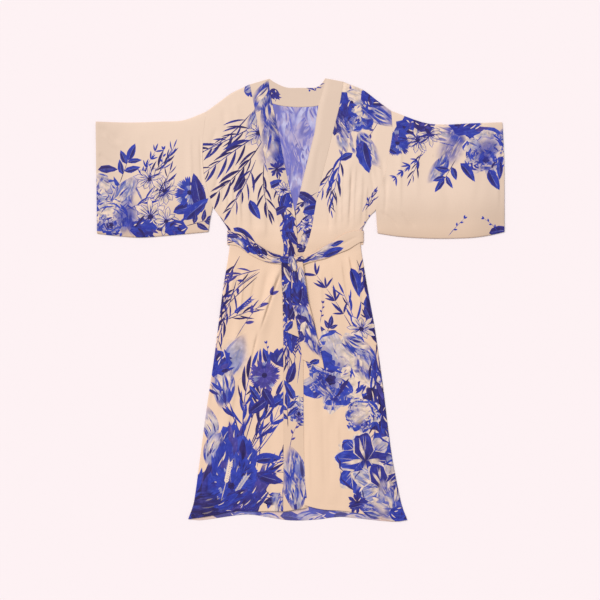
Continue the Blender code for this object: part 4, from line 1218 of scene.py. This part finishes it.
def panel(node, seed, colours, thickness=CLOTH, crease=1.0, lowered=0.0, hem=True, side=None, free=0,
          under=(), step=MESH_STEP):
    """A panel or band: its print cut into its mesh, laid on the frame's surface and creased.

    side is the back's edge, to which it is sewn, and the sleeves', and free says on which side, left or
    right, it comes down to rest on the layers under it.
    """
    form = Form(node)
    runs = corner_runs(form.outline)
    outline = outline_of(runs)
    hem_line = flowing(lowest(runs)[:, :2], EDGE_STEP)
    free_run = max(longest_two(runs), key=lambda run: free * run[:, 0].mean())
    free_line = flowing(free_run[:, :2], EDGE_STEP)
    rows = EDGE_ROWS + (HEM_ROWS if hem else ())
    points, triangles, covered = cut(outline, printed(node, seed), step, rows, CREASES if crease else ())

    def surface(x, y):
        z = form.height(x, y) - lowered + crease * (creased(x, y, CREASES) + swelling(x, y))
        z = z + rolled(distance(closed(outline), x, y))
        from_hem = distance(hem_line, x, y)
        if hem:
            z = z + hemmed(from_hem)
        if side is not None:
            near = 1 - np.clip(distance(side[0], x, y) / CLOSED_WIDTH, 0, 1)
            off_sleeve = ease((distance(side[1], x, y) - CLOSED_SLEEVE[0]) / CLOSED_SLEEVE[1])
            off_hem = ease((from_hem - CLOSED_HEM[0]) / CLOSED_HEM[1])
            closing = (1 - np.sqrt(1 - near ** 2)) * off_hem * off_sleeve
            z = z - (z - CLOSED_HEIGHT) * closing
        if free:
            drop = np.maximum(z - layers_below(under, x, y) - thickness - REST_GAP, 0)
            z = z - drop * np.exp(-(distance(free_line, x, y) / EDGE_REST) ** 2)
        return np.maximum(z, thickness + FLOOR_GAP)

    x, y = points[:, 0], points[:, 1]
    ink, lift, spot = inked(node, points, triangles, covered, y)
    mesh = cloth_mesh(node + "_cloth", np.column_stack([points, surface(x, y)]), triangles, ink, lift, spot)
    thing = piece(node + "_cloth", mesh, *colours, thickness)
    lay(thing, node, plan_area(points, triangles))
    return runs, surface


def outline_beside(run, outline):
    """The stretch of the outline that follows a run."""
    tree = tree_of(outline)
    return outline[[tree.find((*p, 0))[1] for p in flowing(run[:, :2], 1.0)]]


def sleeve(node, seed, colours):
    """A sleeve: an upper and a lower layer that meet in the fold and the seam, open at cuff and armhole."""
    form = Form(node, SLEEVE_TOP, SLEEVE_LEVEL)
    runs = corner_runs(form.outline)
    outline = outline_of(runs, SLEEVE_MEET)
    fold = max(runs, key=lambda run: run[:, 1].mean())
    cuff = max(runs, key=lambda run: abs(run[:, 0]).mean())
    shut = [outline_beside(run, outline) for run in (fold, lowest(runs))]
    cuff_line = flowing(cuff[:, :2], EDGE_STEP)
    rows = EDGE_ROWS + HEM_ROWS
    points, triangles, covered = cut(outline, printed(node, seed), rows=rows, creases=CREASES)

    def layers(x, y):
        turn = np.minimum(distance(shut[0], x, y), distance(shut[1], x, y))
        away = distance(closed(outline), x, y)
        from_cuff = distance(cuff_line, x, y)
        z = form.height(x, y) + (creased(x, y, CREASES) + swelling(x, y)) * ease(away / SLEEVE_CREASED)
        z = z + rolled(from_cuff) + hemmed(from_cuff)
        rounded = np.sqrt(1 - (1 - np.clip(turn / FOLD_ROUND, 0, 1)) ** 2)
        return [FOLD_MIDDLE + (height - FOLD_MIDDLE) * rounded for height in (z, CLOTH + FLOOR_GAP)]

    x, y = points[:, 0], points[:, 1]
    place = np.vstack([np.column_stack([points, layer]) for layer in layers(x, y)])
    both = np.vstack([triangles, triangles[:, ::-1] + len(points)])
    looks = inked(node, points, triangles, covered, y)
    mesh = cloth_mesh(node + "_cloth", place, both, *(np.concatenate([a, a[:, ::-1]]) for a in looks))
    bm = bmesh.new()
    bm.from_mesh(mesh)
    bmesh.ops.remove_doubles(bm, verts=bm.verts, dist=FOLD_JOIN * MM)
    bm.to_mesh(mesh)
    bm.free()
    thing = piece(node + "_cloth", mesh, *colours)
    lay(thing, node, 2 * plan_area(points, triangles))
    return cuff, lambda a, b: layers(a, b)[0]


def long_edges(outline):
    """The two long edges of a stretch of belt, each from the knot outwards."""
    edges = []
    for run in longest_two(corner_runs(outline)):
        line = flowing(run[:, :2], BELT_EDGE_STEP)
        edges.append(line if math.dist(line[0], KNOT_AT) < math.dist(line[-1], KNOT_AT) else line[::-1])
    return edges


def at_share(line, share):
    """The points this share of the way along an even line."""
    even = np.linspace(0, 1, len(line))
    return np.column_stack([np.interp(share, even, line[:, k]) for k in (0, 1)])


def strip(node, seed, colours, side=0):
    """A stretch of the belt from the knot outwards, printed and pleated in its own flat cloth."""
    form = Form(node)
    edges = long_edges(form.outline)
    edges.sort(key=lambda e: e[:, 1].mean() if side else -e[:, 0].mean())
    if not side:
        tucked = [e[0] + (e[0] - e[3]) / math.dist(e[0], e[3]) * TAIL_TUCK for e in edges]
        drawn = [np.vstack([start, e[:-1:4], e[-1:]]) for start, e in zip(tucked, edges)]
        edges = [flowing(points, BELT_EDGE_STEP) for points in drawn]
    long = (length_of(edges[0]) + length_of(edges[1])) / 2
    turned = BELT_TURN if side else 0.0
    ends = np.array([(0, 0), (long + turned, 0), (long + turned, BELT_WIDE), (0, BELT_WIDE), (0, 0)], float)
    outline = np.vstack([flowing(ends[k:k + 2], EDGE_STEP)[:-1] for k in range(4)])
    points, triangles, covered = cut(outline, printed(node, seed), BELT_STEP)

    def surface(s, w):
        a, b = (at_share(edge, np.clip(s / long, 0, 1)) for edge in edges)
        across = (w / BELT_WIDE)[:, None]
        plan = a * (1 - across) + b * across
        z = form.height(plan[:, 0], plan[:, 1]) + creased(s, w, PLEATS[node], PLEAT_WANDER)
        z = z + rolled(np.minimum(w, BELT_WIDE - w)) + (0 if side else rolled(np.minimum(s, long - s)))
        bent = np.clip((s - long) / BELT_TURN, 0, 1) * math.pi / 2
        z = BELT_FOOT + (z - BELT_FOOT) * np.cos(bent)
        return np.column_stack([plan[:, 0] + side * BELT_OUT * np.sin(bent), plan[:, 1], z])

    place = surface(points[:, 0], points[:, 1])
    ink, lift, spot = inked(node, points, triangles, covered, place[:, 1])
    mesh = cloth_mesh(node + "_cloth", place, triangles, ink, lift, spot)
    if face_crosses(place, triangles)[:, 2].sum() < 0:
        mesh.flip_normals()
    thing = piece(node + "_cloth", mesh, *colours, DOUBLE)
    lay(thing, node, long * BELT_WIDE * MM * MM)
    return long, surface


# The knot's folds: the ends of a fold's middle from KNOT_AT, half its width, its foot and its rise at each
# end, and the pleats across each, as a share of its half width, with their width and depth
Fold = namedtuple("Fold", "start end half foot rise_start rise_end")
KNOT_FOLDS = (
    Fold((-25.0, 7.0), (-2.0, 4.0), 11.0, 9.9, 2.0, 7.6),
    Fold((26.0, 9.0), (4.0, 3.0), 10.0, 9.6, 2.2, 7.6),
    Fold((-3.0, 8.0), (7.0, -18.0), 10.6, 13.0, 8.2, 4.6),
)
KNOT_PLEATS = ((-0.42, 1.2, -0.9), (0.3, 1.0, -0.8))
KNOT_LOOK = np.arange(0, 60, 0.25)  # distances from KNOT_AT at which its outline is looked for
KNOT_NEARER = 0.01  # a height is also read this share of the way nearer to KNOT_AT


def over_folds(x, y):
    """The height of the highest fold of the knot over each point, or below the floor beside them."""
    best = np.full(np.shape(x), -1.0)
    for fold in KNOT_FOLDS:
        (ax, ay), (bx, by) = fold.start, fold.end
        dx, dy, px, py = bx - ax, by - ay, x - KNOT_AT[0] - ax, y - KNOT_AT[1] - ay
        long = math.hypot(dx, dy)
        t = np.clip((px * dx + py * dy) / long ** 2, 0, 1)
        away = np.hypot(px - t * dx, py - t * dy) / fold.half
        dome = np.sqrt(np.maximum(1 - away ** 2, 0))
        z = fold.foot + (fold.rise_start * (1 - t) + fold.rise_end * t) * dome
        beside = (px * dy - py * dx) / long
        for across, width, depth in KNOT_PLEATS:
            z = z + depth * np.exp(-((beside - across * fold.half) / width) ** 2) * ease(dome * 2 - 0.6)
        best = np.where(away <= 1, np.maximum(best, z), best)
    return best


def knot(seed, colours):
    """The knot: one stretch of the belt wrapped over the two that meet below it."""
    outline = []
    for turn in np.radians(np.arange(0, 360, 3)):
        x, y = offset(*KNOT_AT, turn, KNOT_LOOK)
        last = np.nonzero(over_folds(x, y) > 0)[0].max()
        outline.append((x[last], y[last]))
    outline = np.array(outline)
    points, triangles, covered = cut(outline, printed("knot", seed), KNOT_STEP, KNOT_ROWS)
    nearer = points + (np.array(KNOT_AT) - points) * KNOT_NEARER
    z = np.maximum(over_folds(points[:, 0], points[:, 1]), over_folds(nearer[:, 0], nearer[:, 1]))
    z = np.maximum(z, min(fold.foot for fold in KNOT_FOLDS))
    place = np.column_stack([points, z])
    ink, lift, spot = inked("knot", points, triangles, covered, points[:, 1])
    mesh = cloth_mesh("knot_cloth", place, triangles, ink, lift, spot)
    thing = piece("knot_cloth", mesh, *colours, DOUBLE)
    area = float(np.linalg.norm(face_crosses(place, triangles), axis=1).sum() / 2) * MM * MM
    lay(thing, "knot", area)


# Sewing

STITCH = 2.3  # length of a stitch
STITCH_GAP = 3.3  # from one to the next
THREAD = 0.2
UNEVEN = (0.84, 1.1)  # shortest and longest stitch, as shares of STITCH
ROW_FROM_END = 3.0  # distance of the belt's rows from its ends
ROW_POINTS = 80


def stitch_tree():
    """Geometry nodes that set a stitch at every step along the lines."""
    tree = bpy.data.node_groups.new("stitches", "GeometryNodeTree")
    open_sockets(tree, (
        ("Geometry", "NodeSocketGeometry", None), ("Spacing", "NodeSocketFloat", STITCH_GAP * MM),
        ("Length", "NodeSocketFloat", STITCH * MM), ("Thread", "NodeSocketFloat", THREAD * MM),
        ("Seed", "NodeSocketInt", 7), ("Material", "NodeSocketMaterial", None),
    ), (("Geometry", "NodeSocketGeometry"),))
    out = tree.nodes.new("NodeGroupOutput")
    given = tree.nodes.new("NodeGroupInput").outputs
    curve = add(tree, "GeometryNodeMeshToCurve", [("Mesh", given["Geometry"])])
    spaced = [("Curve", curve.outputs[0]), ("Length", given["Spacing"])]
    even = add(tree, "GeometryNodeResampleCurve", spaced, mode="LENGTH")
    tangent = add(tree, "GeometryNodeInputTangent")
    aim = add(tree, "FunctionNodeAlignRotationToVector", [("Vector", tangent.outputs[0])], axis="X")
    shares = [(2, UNEVEN[0]), (3, UNEVEN[1]), ("Seed", given["Seed"])]
    uneven = add(tree, "FunctionNodeRandomValue", shares, data_type="FLOAT")
    long = maths(tree, "MULTIPLY", given["Length"], uneven.outputs[1])
    size = add(tree, "ShaderNodeCombineXYZ", [(0, long), (1, given["Thread"]), (2, given["Thread"])])
    bead = add(tree, "GeometryNodeMeshIcoSphere", [("Radius", 0.5), ("Subdivisions", 1)])
    placed = add(tree, "GeometryNodeInstanceOnPoints", [
        ("Points", even.outputs[0]), ("Instance", bead.outputs[0]), ("Rotation", aim.outputs[0]),
        ("Scale", size.outputs[0]),
    ])
    real = add(tree, "GeometryNodeRealizeInstances", [(0, placed.outputs[0])])
    finish = [("Geometry", real.outputs[0]), ("Material", given["Material"])]
    tree.links.new(add(tree, "GeometryNodeSetMaterial", finish).outputs[0], out.inputs[0])
    return tree


def inset(line, inward, amount):
    """A line moved towards a point, without its very ends."""
    line = flowing(line[:, :2], EDGE_STEP)
    side = sideways(line) * amount
    middle = len(line) // 2
    if math.dist(line[middle] + side[middle], inward) > math.dist(line[middle] - side[middle], inward):
        side = -side
    return (line + side)[1:-1]


def sew(node, lines, surface):
    """Rows of stitches along flat lines on a surface."""
    verts, edges = [], []
    for line in lines:
        placed = surface(line[:, 0], line[:, 1])
        placed = placed if placed.ndim == 2 else np.column_stack([line, placed])
        placed = placed + (0, 0, THREAD / 4)
        edges += [(len(verts) + k, len(verts) + k + 1) for k in range(len(placed) - 1)]
        verts += (placed * MM).tolist()
    mesh = bpy.data.meshes.new(node + "_rows")
    mesh.from_pydata(verts, edges, [])
    rows = bpy.data.objects.new(node + "_rows", mesh)
    bpy.context.scene.collection.objects.link(rows)
    made = rows.modifiers.new("stitches", "NODES")
    made.node_group = STITCHES
    values = {"Spacing": STITCH_GAP * MM, "Length": STITCH * MM, "Thread": THREAD * MM, "Seed": len(verts),
              "Material": THREAD_FINISH}
    for socket in STITCHES.interface.items_tree:
        if socket.in_out == "INPUT" and socket.name in values:
            made[socket.identifier] = values[socket.name]
    evaluated = rows.evaluated_get(bpy.context.evaluated_depsgraph_get())
    stitched = bpy.data.meshes.new_from_object(evaluated)
    stitched.name = node + "_stitches"
    stitched.shade_smooth()
    thing = bpy.data.objects.new(node + "_stitches", stitched)
    bpy.context.scene.collection.objects.link(thing)
    bpy.data.objects.remove(rows)
    lay(thing, node)


# Finishes

STREAK_SHAPE = (0.22, 1.25, 1.0)  # brush marks are long along a shape and fine across it
POOL_SCALE = 0.55  # of the pools of darker ink
WEFT_SLUB = (900.0, 26.0, 1.0)  # slubs are fine across the thread and long along it
WARP_SLUB = (26.0, 900.0, 1.0)
WEAVE_SHARE = 0.3  # share of the weave in the relief, beside the slubs
FUZZ_SCALE = 160.0
CLOTH_GLOSSIEST, CLOTH_DULLEST = 0.5, 0.68
RELIEF, RELIEF_HIGH = 0.25, 0.0004  # strength of the weave's relief, and its height in metres
SHEEN, SHEEN_ROUGH = 0.03, 0.4
SPECULAR = 0.2


def open_sockets(tree, inputs, outputs):
    """Gives a node group its named sockets."""
    for title, kind, value in inputs:
        socket = tree.interface.new_socket(title, in_out="INPUT", socket_type=kind)
        if value is not None:
            socket.default_value = value
    for title, kind in outputs:
        tree.interface.new_socket(title, in_out="OUTPUT", socket_type=kind)


def add(tree, kind, links=(), **values):
    """A node with its values, and its inputs linked or set by name or number."""
    node = tree.nodes.new(kind)
    for key, value in values.items():
        setattr(node, key, value)
    for key, source in links:
        if hasattr(source, "is_output"):
            tree.links.new(source, node.inputs[key])
        else:
            node.inputs[key].default_value = source
    return node


def maths(tree, operation, *values):
    return add(tree, "ShaderNodeMath", enumerate(values), operation=operation).outputs[0]


def stretched(tree, place, by):
    """A place or colour whose three parts are multiplied by these."""
    return add(tree, "ShaderNodeVectorMath", [(0, place), (1, by)], operation="MULTIPLY").outputs[0]


def scaled(tree, place, by):
    return add(tree, "ShaderNodeVectorMath", [(0, place), ("Scale", by)], operation="SCALE").outputs[0]


def noise(tree, place, scale, detail, *more):
    links = [("Vector", place), ("Scale", scale), ("Detail", detail), *more]
    return add(tree, "ShaderNodeTexNoise", links).outputs["Fac"]


def spread(tree, value, *ends, **values):
    """A value spread from one range to another."""
    return add(tree, "ShaderNodeMapRange", [("Value", value), *ends], **values).outputs[0]


def brushwork_group():
    """Brush marks along a printed shape: the lift colour shows through the ink in streaks."""
    tree = bpy.data.node_groups.new("brushwork", "ShaderNodeTree")
    open_sockets(tree, (
        ("Place", "NodeSocketVector", None), ("Ink", "NodeSocketColor", (0.1, 0.1, 0.5, 1)),
        ("Lift", "NodeSocketColor", (0.5, 0.5, 0.8, 1)), ("Marks", "NodeSocketFloat", 0.4),
    ), (("Color", "NodeSocketColor"),))
    out = tree.nodes.new("NodeGroupOutput").inputs
    given = tree.nodes.new("NodeGroupInput").outputs
    along = stretched(tree, given["Place"], STREAK_SHAPE)
    streak = noise(tree, along, 1.0, 3.0, ("Roughness", 0.62), ("Distortion", 0.9))
    sharp = spread(tree, streak, ("From Min", 0.46), ("From Max", 0.62), interpolation_type="SMOOTHSTEP")
    amount = maths(tree, "MULTIPLY", sharp, given["Marks"])
    colours = [(0, amount), (6, given["Ink"]), (7, given["Lift"])]
    brushed = add(tree, "ShaderNodeMix", colours, data_type="RGBA").outputs[2]
    pool = noise(tree, given["Place"], POOL_SCALE, 2.0)
    deep = spread(tree, pool, ("From Min", 0.35), ("From Max", 0.7), ("To Min", 1.14), ("To Max", 0.8))
    some = maths(tree, "MINIMUM", maths(tree, "MULTIPLY", given["Marks"], 3.0), 1.0)
    tones = [(0, some), (2, 1.0), (3, deep)]
    tone = add(tree, "ShaderNodeMix", tones, data_type="FLOAT").outputs[0]
    tree.links.new(scaled(tree, brushed, tone), out["Color"])
    return tree


def weave_group():
    """Plain weave with slubs: a little tone in the colour and a height for the bump."""
    tree = bpy.data.node_groups.new("weave", "ShaderNodeTree")
    open_sockets(tree, (
        ("Place", "NodeSocketVector", None), ("Color", "NodeSocketColor", (0.8, 0.6, 0.5, 1)),
        ("Threads", "NodeSocketFloat", 1400.0), ("Slubs", "NodeSocketFloat", 0.06),
    ), (("Color", "NodeSocketColor"), ("Height", "NodeSocketFloat"), ("Roughness", "NodeSocketFloat")))
    out = tree.nodes.new("NodeGroupOutput").inputs
    given = tree.nodes.new("NodeGroupInput").outputs
    threads = add(tree, "ShaderNodeSeparateXYZ", [(0, scaled(tree, given["Place"], given["Threads"]))])
    woven = maths(tree, "MULTIPLY", *(maths(tree, "SINE", threads.outputs[k]) for k in (0, 1)))
    weft_slub = noise(tree, stretched(tree, given["Place"], WEFT_SLUB), 1.0, 2.0)
    warp_slub = noise(tree, stretched(tree, given["Place"], WARP_SLUB), 1.0, 2.0)
    slubs = maths(tree, "ADD", weft_slub, warp_slub)
    tone = maths(tree, "MULTIPLY", slubs, given["Slubs"])
    gain = maths(tree, "ADD", maths(tree, "SUBTRACT", 1.0, given["Slubs"]), tone)
    fuzz = noise(tree, given["Place"], FUZZ_SCALE, 3.0)
    tree.links.new(scaled(tree, given["Color"], gain), out["Color"])
    tree.links.new(maths(tree, "MULTIPLY_ADD", woven, WEAVE_SHARE, slubs), out["Height"])
    dullness = spread(tree, fuzz, ("To Min", CLOTH_GLOSSIEST), ("To Max", CLOTH_DULLEST))
    tree.links.new(dullness, out["Roughness"])
    return tree


def cloth_material(name, wrong=False):
    """The printed cloth. On its wrong side the print is paler and bluish."""
    material = bpy.data.materials.new(name)
    material.use_nodes = True
    tree = material.node_tree
    shader = tree.nodes["Principled BSDF"].inputs
    ink = add(tree, "ShaderNodeAttribute", attribute_name="ink").outputs
    lift = add(tree, "ShaderNodeAttribute", attribute_name="lift").outputs
    spot = add(tree, "ShaderNodeUVMap", uv_map="print").outputs["UV"]
    place = add(tree, "ShaderNodeTexCoord").outputs["Object"]
    marks = [("Place", spot), ("Ink", ink["Color"]), ("Lift", lift["Color"]), ("Marks", ink["Alpha"])]
    colour = add(tree, "ShaderNodeGroup", marks, node_tree=BRUSHWORK).outputs["Color"]
    if wrong:
        fading = [(0, lift["Alpha"]), (6, colour), (7, (*WRONG_PALE, 1))]
        colour = add(tree, "ShaderNodeMix", fading, data_type="RGBA").outputs[2]
    woven = add(tree, "ShaderNodeGroup", [("Place", place), ("Color", colour)], node_tree=WEAVE).outputs
    relief = [("Strength", RELIEF), ("Distance", RELIEF_HIGH), ("Height", woven["Height"])]
    tree.links.new(woven["Color"], shader["Base Color"])
    tree.links.new(woven["Roughness"], shader["Roughness"])
    tree.links.new(add(tree, "ShaderNodeBump", relief).outputs["Normal"], shader["Normal"])
    shader["Sheen Weight"].default_value = SHEEN
    shader["Sheen Roughness"].default_value = SHEEN_ROUGH
    shader["Specular IOR Level"].default_value = SPECULAR
    return material


def plain_material(name, colour, roughness):
    material = bpy.data.materials.new(name)
    material.use_nodes = True
    shader = material.node_tree.nodes["Principled BSDF"].inputs
    shader["Base Color"].default_value = (*colour, 1)
    shader["Roughness"].default_value = roughness
    shader["Specular IOR Level"].default_value = SPECULAR
    return material


# The studio

SUN_FROM = (-0.55, 0.62, 0.95)  # the direction of the light
SUN_ANGLE = math.radians(32)
SUN_POWER = 2.27
SKY_POWER = 0.52
FLOOR_REACH = 4.0  # this, FLOOR_UNDER and CAMERA_HIGH are in metres
FLOOR_UNDER = -0.0004
CAMERA_HIGH = 3.5
CAMERA_LENS = 70.0
CAMERA_SENSOR = 36.0


def studio():
    scene = bpy.context.scene
    scene.view_settings.view_transform = "Standard"
    floor_mesh = bpy.data.meshes.new("floor")
    r = FLOOR_REACH
    corners = [(x, y, FLOOR_UNDER) for x, y in ((-r, -r), (r, -r), (r, r), (-r, r))]
    floor_mesh.from_pydata(corners, [], [(0, 1, 2, 3)])
    floor_mesh.materials.append(plain_material("floor", rgb(253, 241, 243), 0.95))
    floor = bpy.data.objects.new("floor", floor_mesh)
    scene.collection.objects.link(floor)

    world = bpy.data.worlds.new("studio")
    scene.world = world
    world.use_nodes = True
    sky = world.node_tree.nodes["Background"].inputs
    sky["Color"].default_value = (1.0, 1.0, 1.0, 1)
    sky["Strength"].default_value = SKY_POWER
    light = bpy.data.lights.new("window", "SUN")
    light.energy = SUN_POWER
    light.angle = SUN_ANGLE
    lamp = bpy.data.objects.new("window", light)
    lamp.rotation_euler = (-Vector(SUN_FROM)).to_track_quat("-Z", "Y").to_euler()
    scene.collection.objects.link(lamp)

    camera = bpy.data.cameras.new("camera")
    camera.lens = CAMERA_LENS
    camera.sensor_width = CAMERA_SENSOR
    eye = bpy.data.objects.new("camera", camera)
    eye.location = (0.0, 0.0, CAMERA_HIGH)
    scene.collection.objects.link(eye)
    scene.camera = eye


studio()

BRUSHWORK = brushwork_group()
WEAVE = weave_group()
PRINTED = cloth_material("printed cloth")
WRONG_SIDE = cloth_material("wrong side of the print", True)
THREAD_FINISH = plain_material("sewing thread", rgb(236, 208, 187), 0.6)
STITCHES = stitch_tree()
FRONT = (PRINTED, WRONG_SIDE)
BOTH = (PRINTED, PRINTED)
HEM_STITCHED = HEM_WIDTH - HEM_STITCH_IN
ROBE_MIDDLE = (0, 0)
SLEEVE_MIDDLE = (0, 350)  # towards which a cuff's stitches lie

# The back and the fronts
back_edge = closed(outline_of(corner_runs(Form("back").outline)))
sleeves = [Form(name, SLEEVE_TOP, SLEEVE_LEVEL).outline for name in ("sleeve_right", "sleeve_left")]
side_edges = (back_edge, np.vstack(sleeves))
runs, surface = panel("back", 11, (WRONG_SIDE, PRINTED), crease=0.0,
                      lowered=BACK_LOWERED, step=BACK_STEP)
sew("back", [inset(lowest(runs), ROBE_MIDDLE, HEM_STITCHED)], surface)
for name, seed in (("front_left", 23), ("front_right", 31)):
    runs, surface = panel(name, seed, FRONT, side=side_edges)
    sew(name, [inset(lowest(runs), ROBE_MIDDLE, HEM_STITCHED)], surface)

# The bands
below = [(Form("back"), BACK_LOWERED), (Form("front_left"), 0.0), (Form("band_left"), 0.0)]
for name, seed, slot, free in (("band_left", 41, "plain_band", -1), ("band_right", 53, "printed_band", 1)):
    under = below[:1] if free < 0 else below
    runs, surface = panel(name, seed, BOTH, DOUBLE, hem=False, crease=BAND_CREASE, free=free,
                          under=under)
    middle = np.vstack(longest_two(runs)).mean(0)[:2]
    sew(name, [inset(run, middle, BAND_STITCH) for run in longest_two(runs)], surface)
panel("band_neck", 61, BOTH, DOUBLE, crease=0.0, hem=False)

# The sleeves
for name, seed in (("sleeve_right", 71), ("sleeve_left", 83)):
    cuff, surface = sleeve(name, seed, FRONT)
    sew(name, [inset(cuff, SLEEVE_MIDDLE, HEM_STITCHED)], surface)

# The belt
panel("belt_behind", 91, BOTH, DOUBLE, crease=0.0, lowered=BEHIND_LOWERED, hem=False)
for name, seed, side in (("tail_under", 97, 0), ("tail_over", 101, 0), ("belt_right", 103, -1),
                         ("belt_left", 107, 1)):
    long, surface = strip(name, seed, BOTH, side)
    along = np.linspace(ROW_FROM_END, long - ROW_FROM_END, ROW_POINTS)
    rows = [np.column_stack([along, np.full(ROW_POINTS, w)]) for w in (BAND_STITCH, BELT_WIDE - BAND_STITCH)]
    sew(name, rows, surface)
knot(109, BOTH)
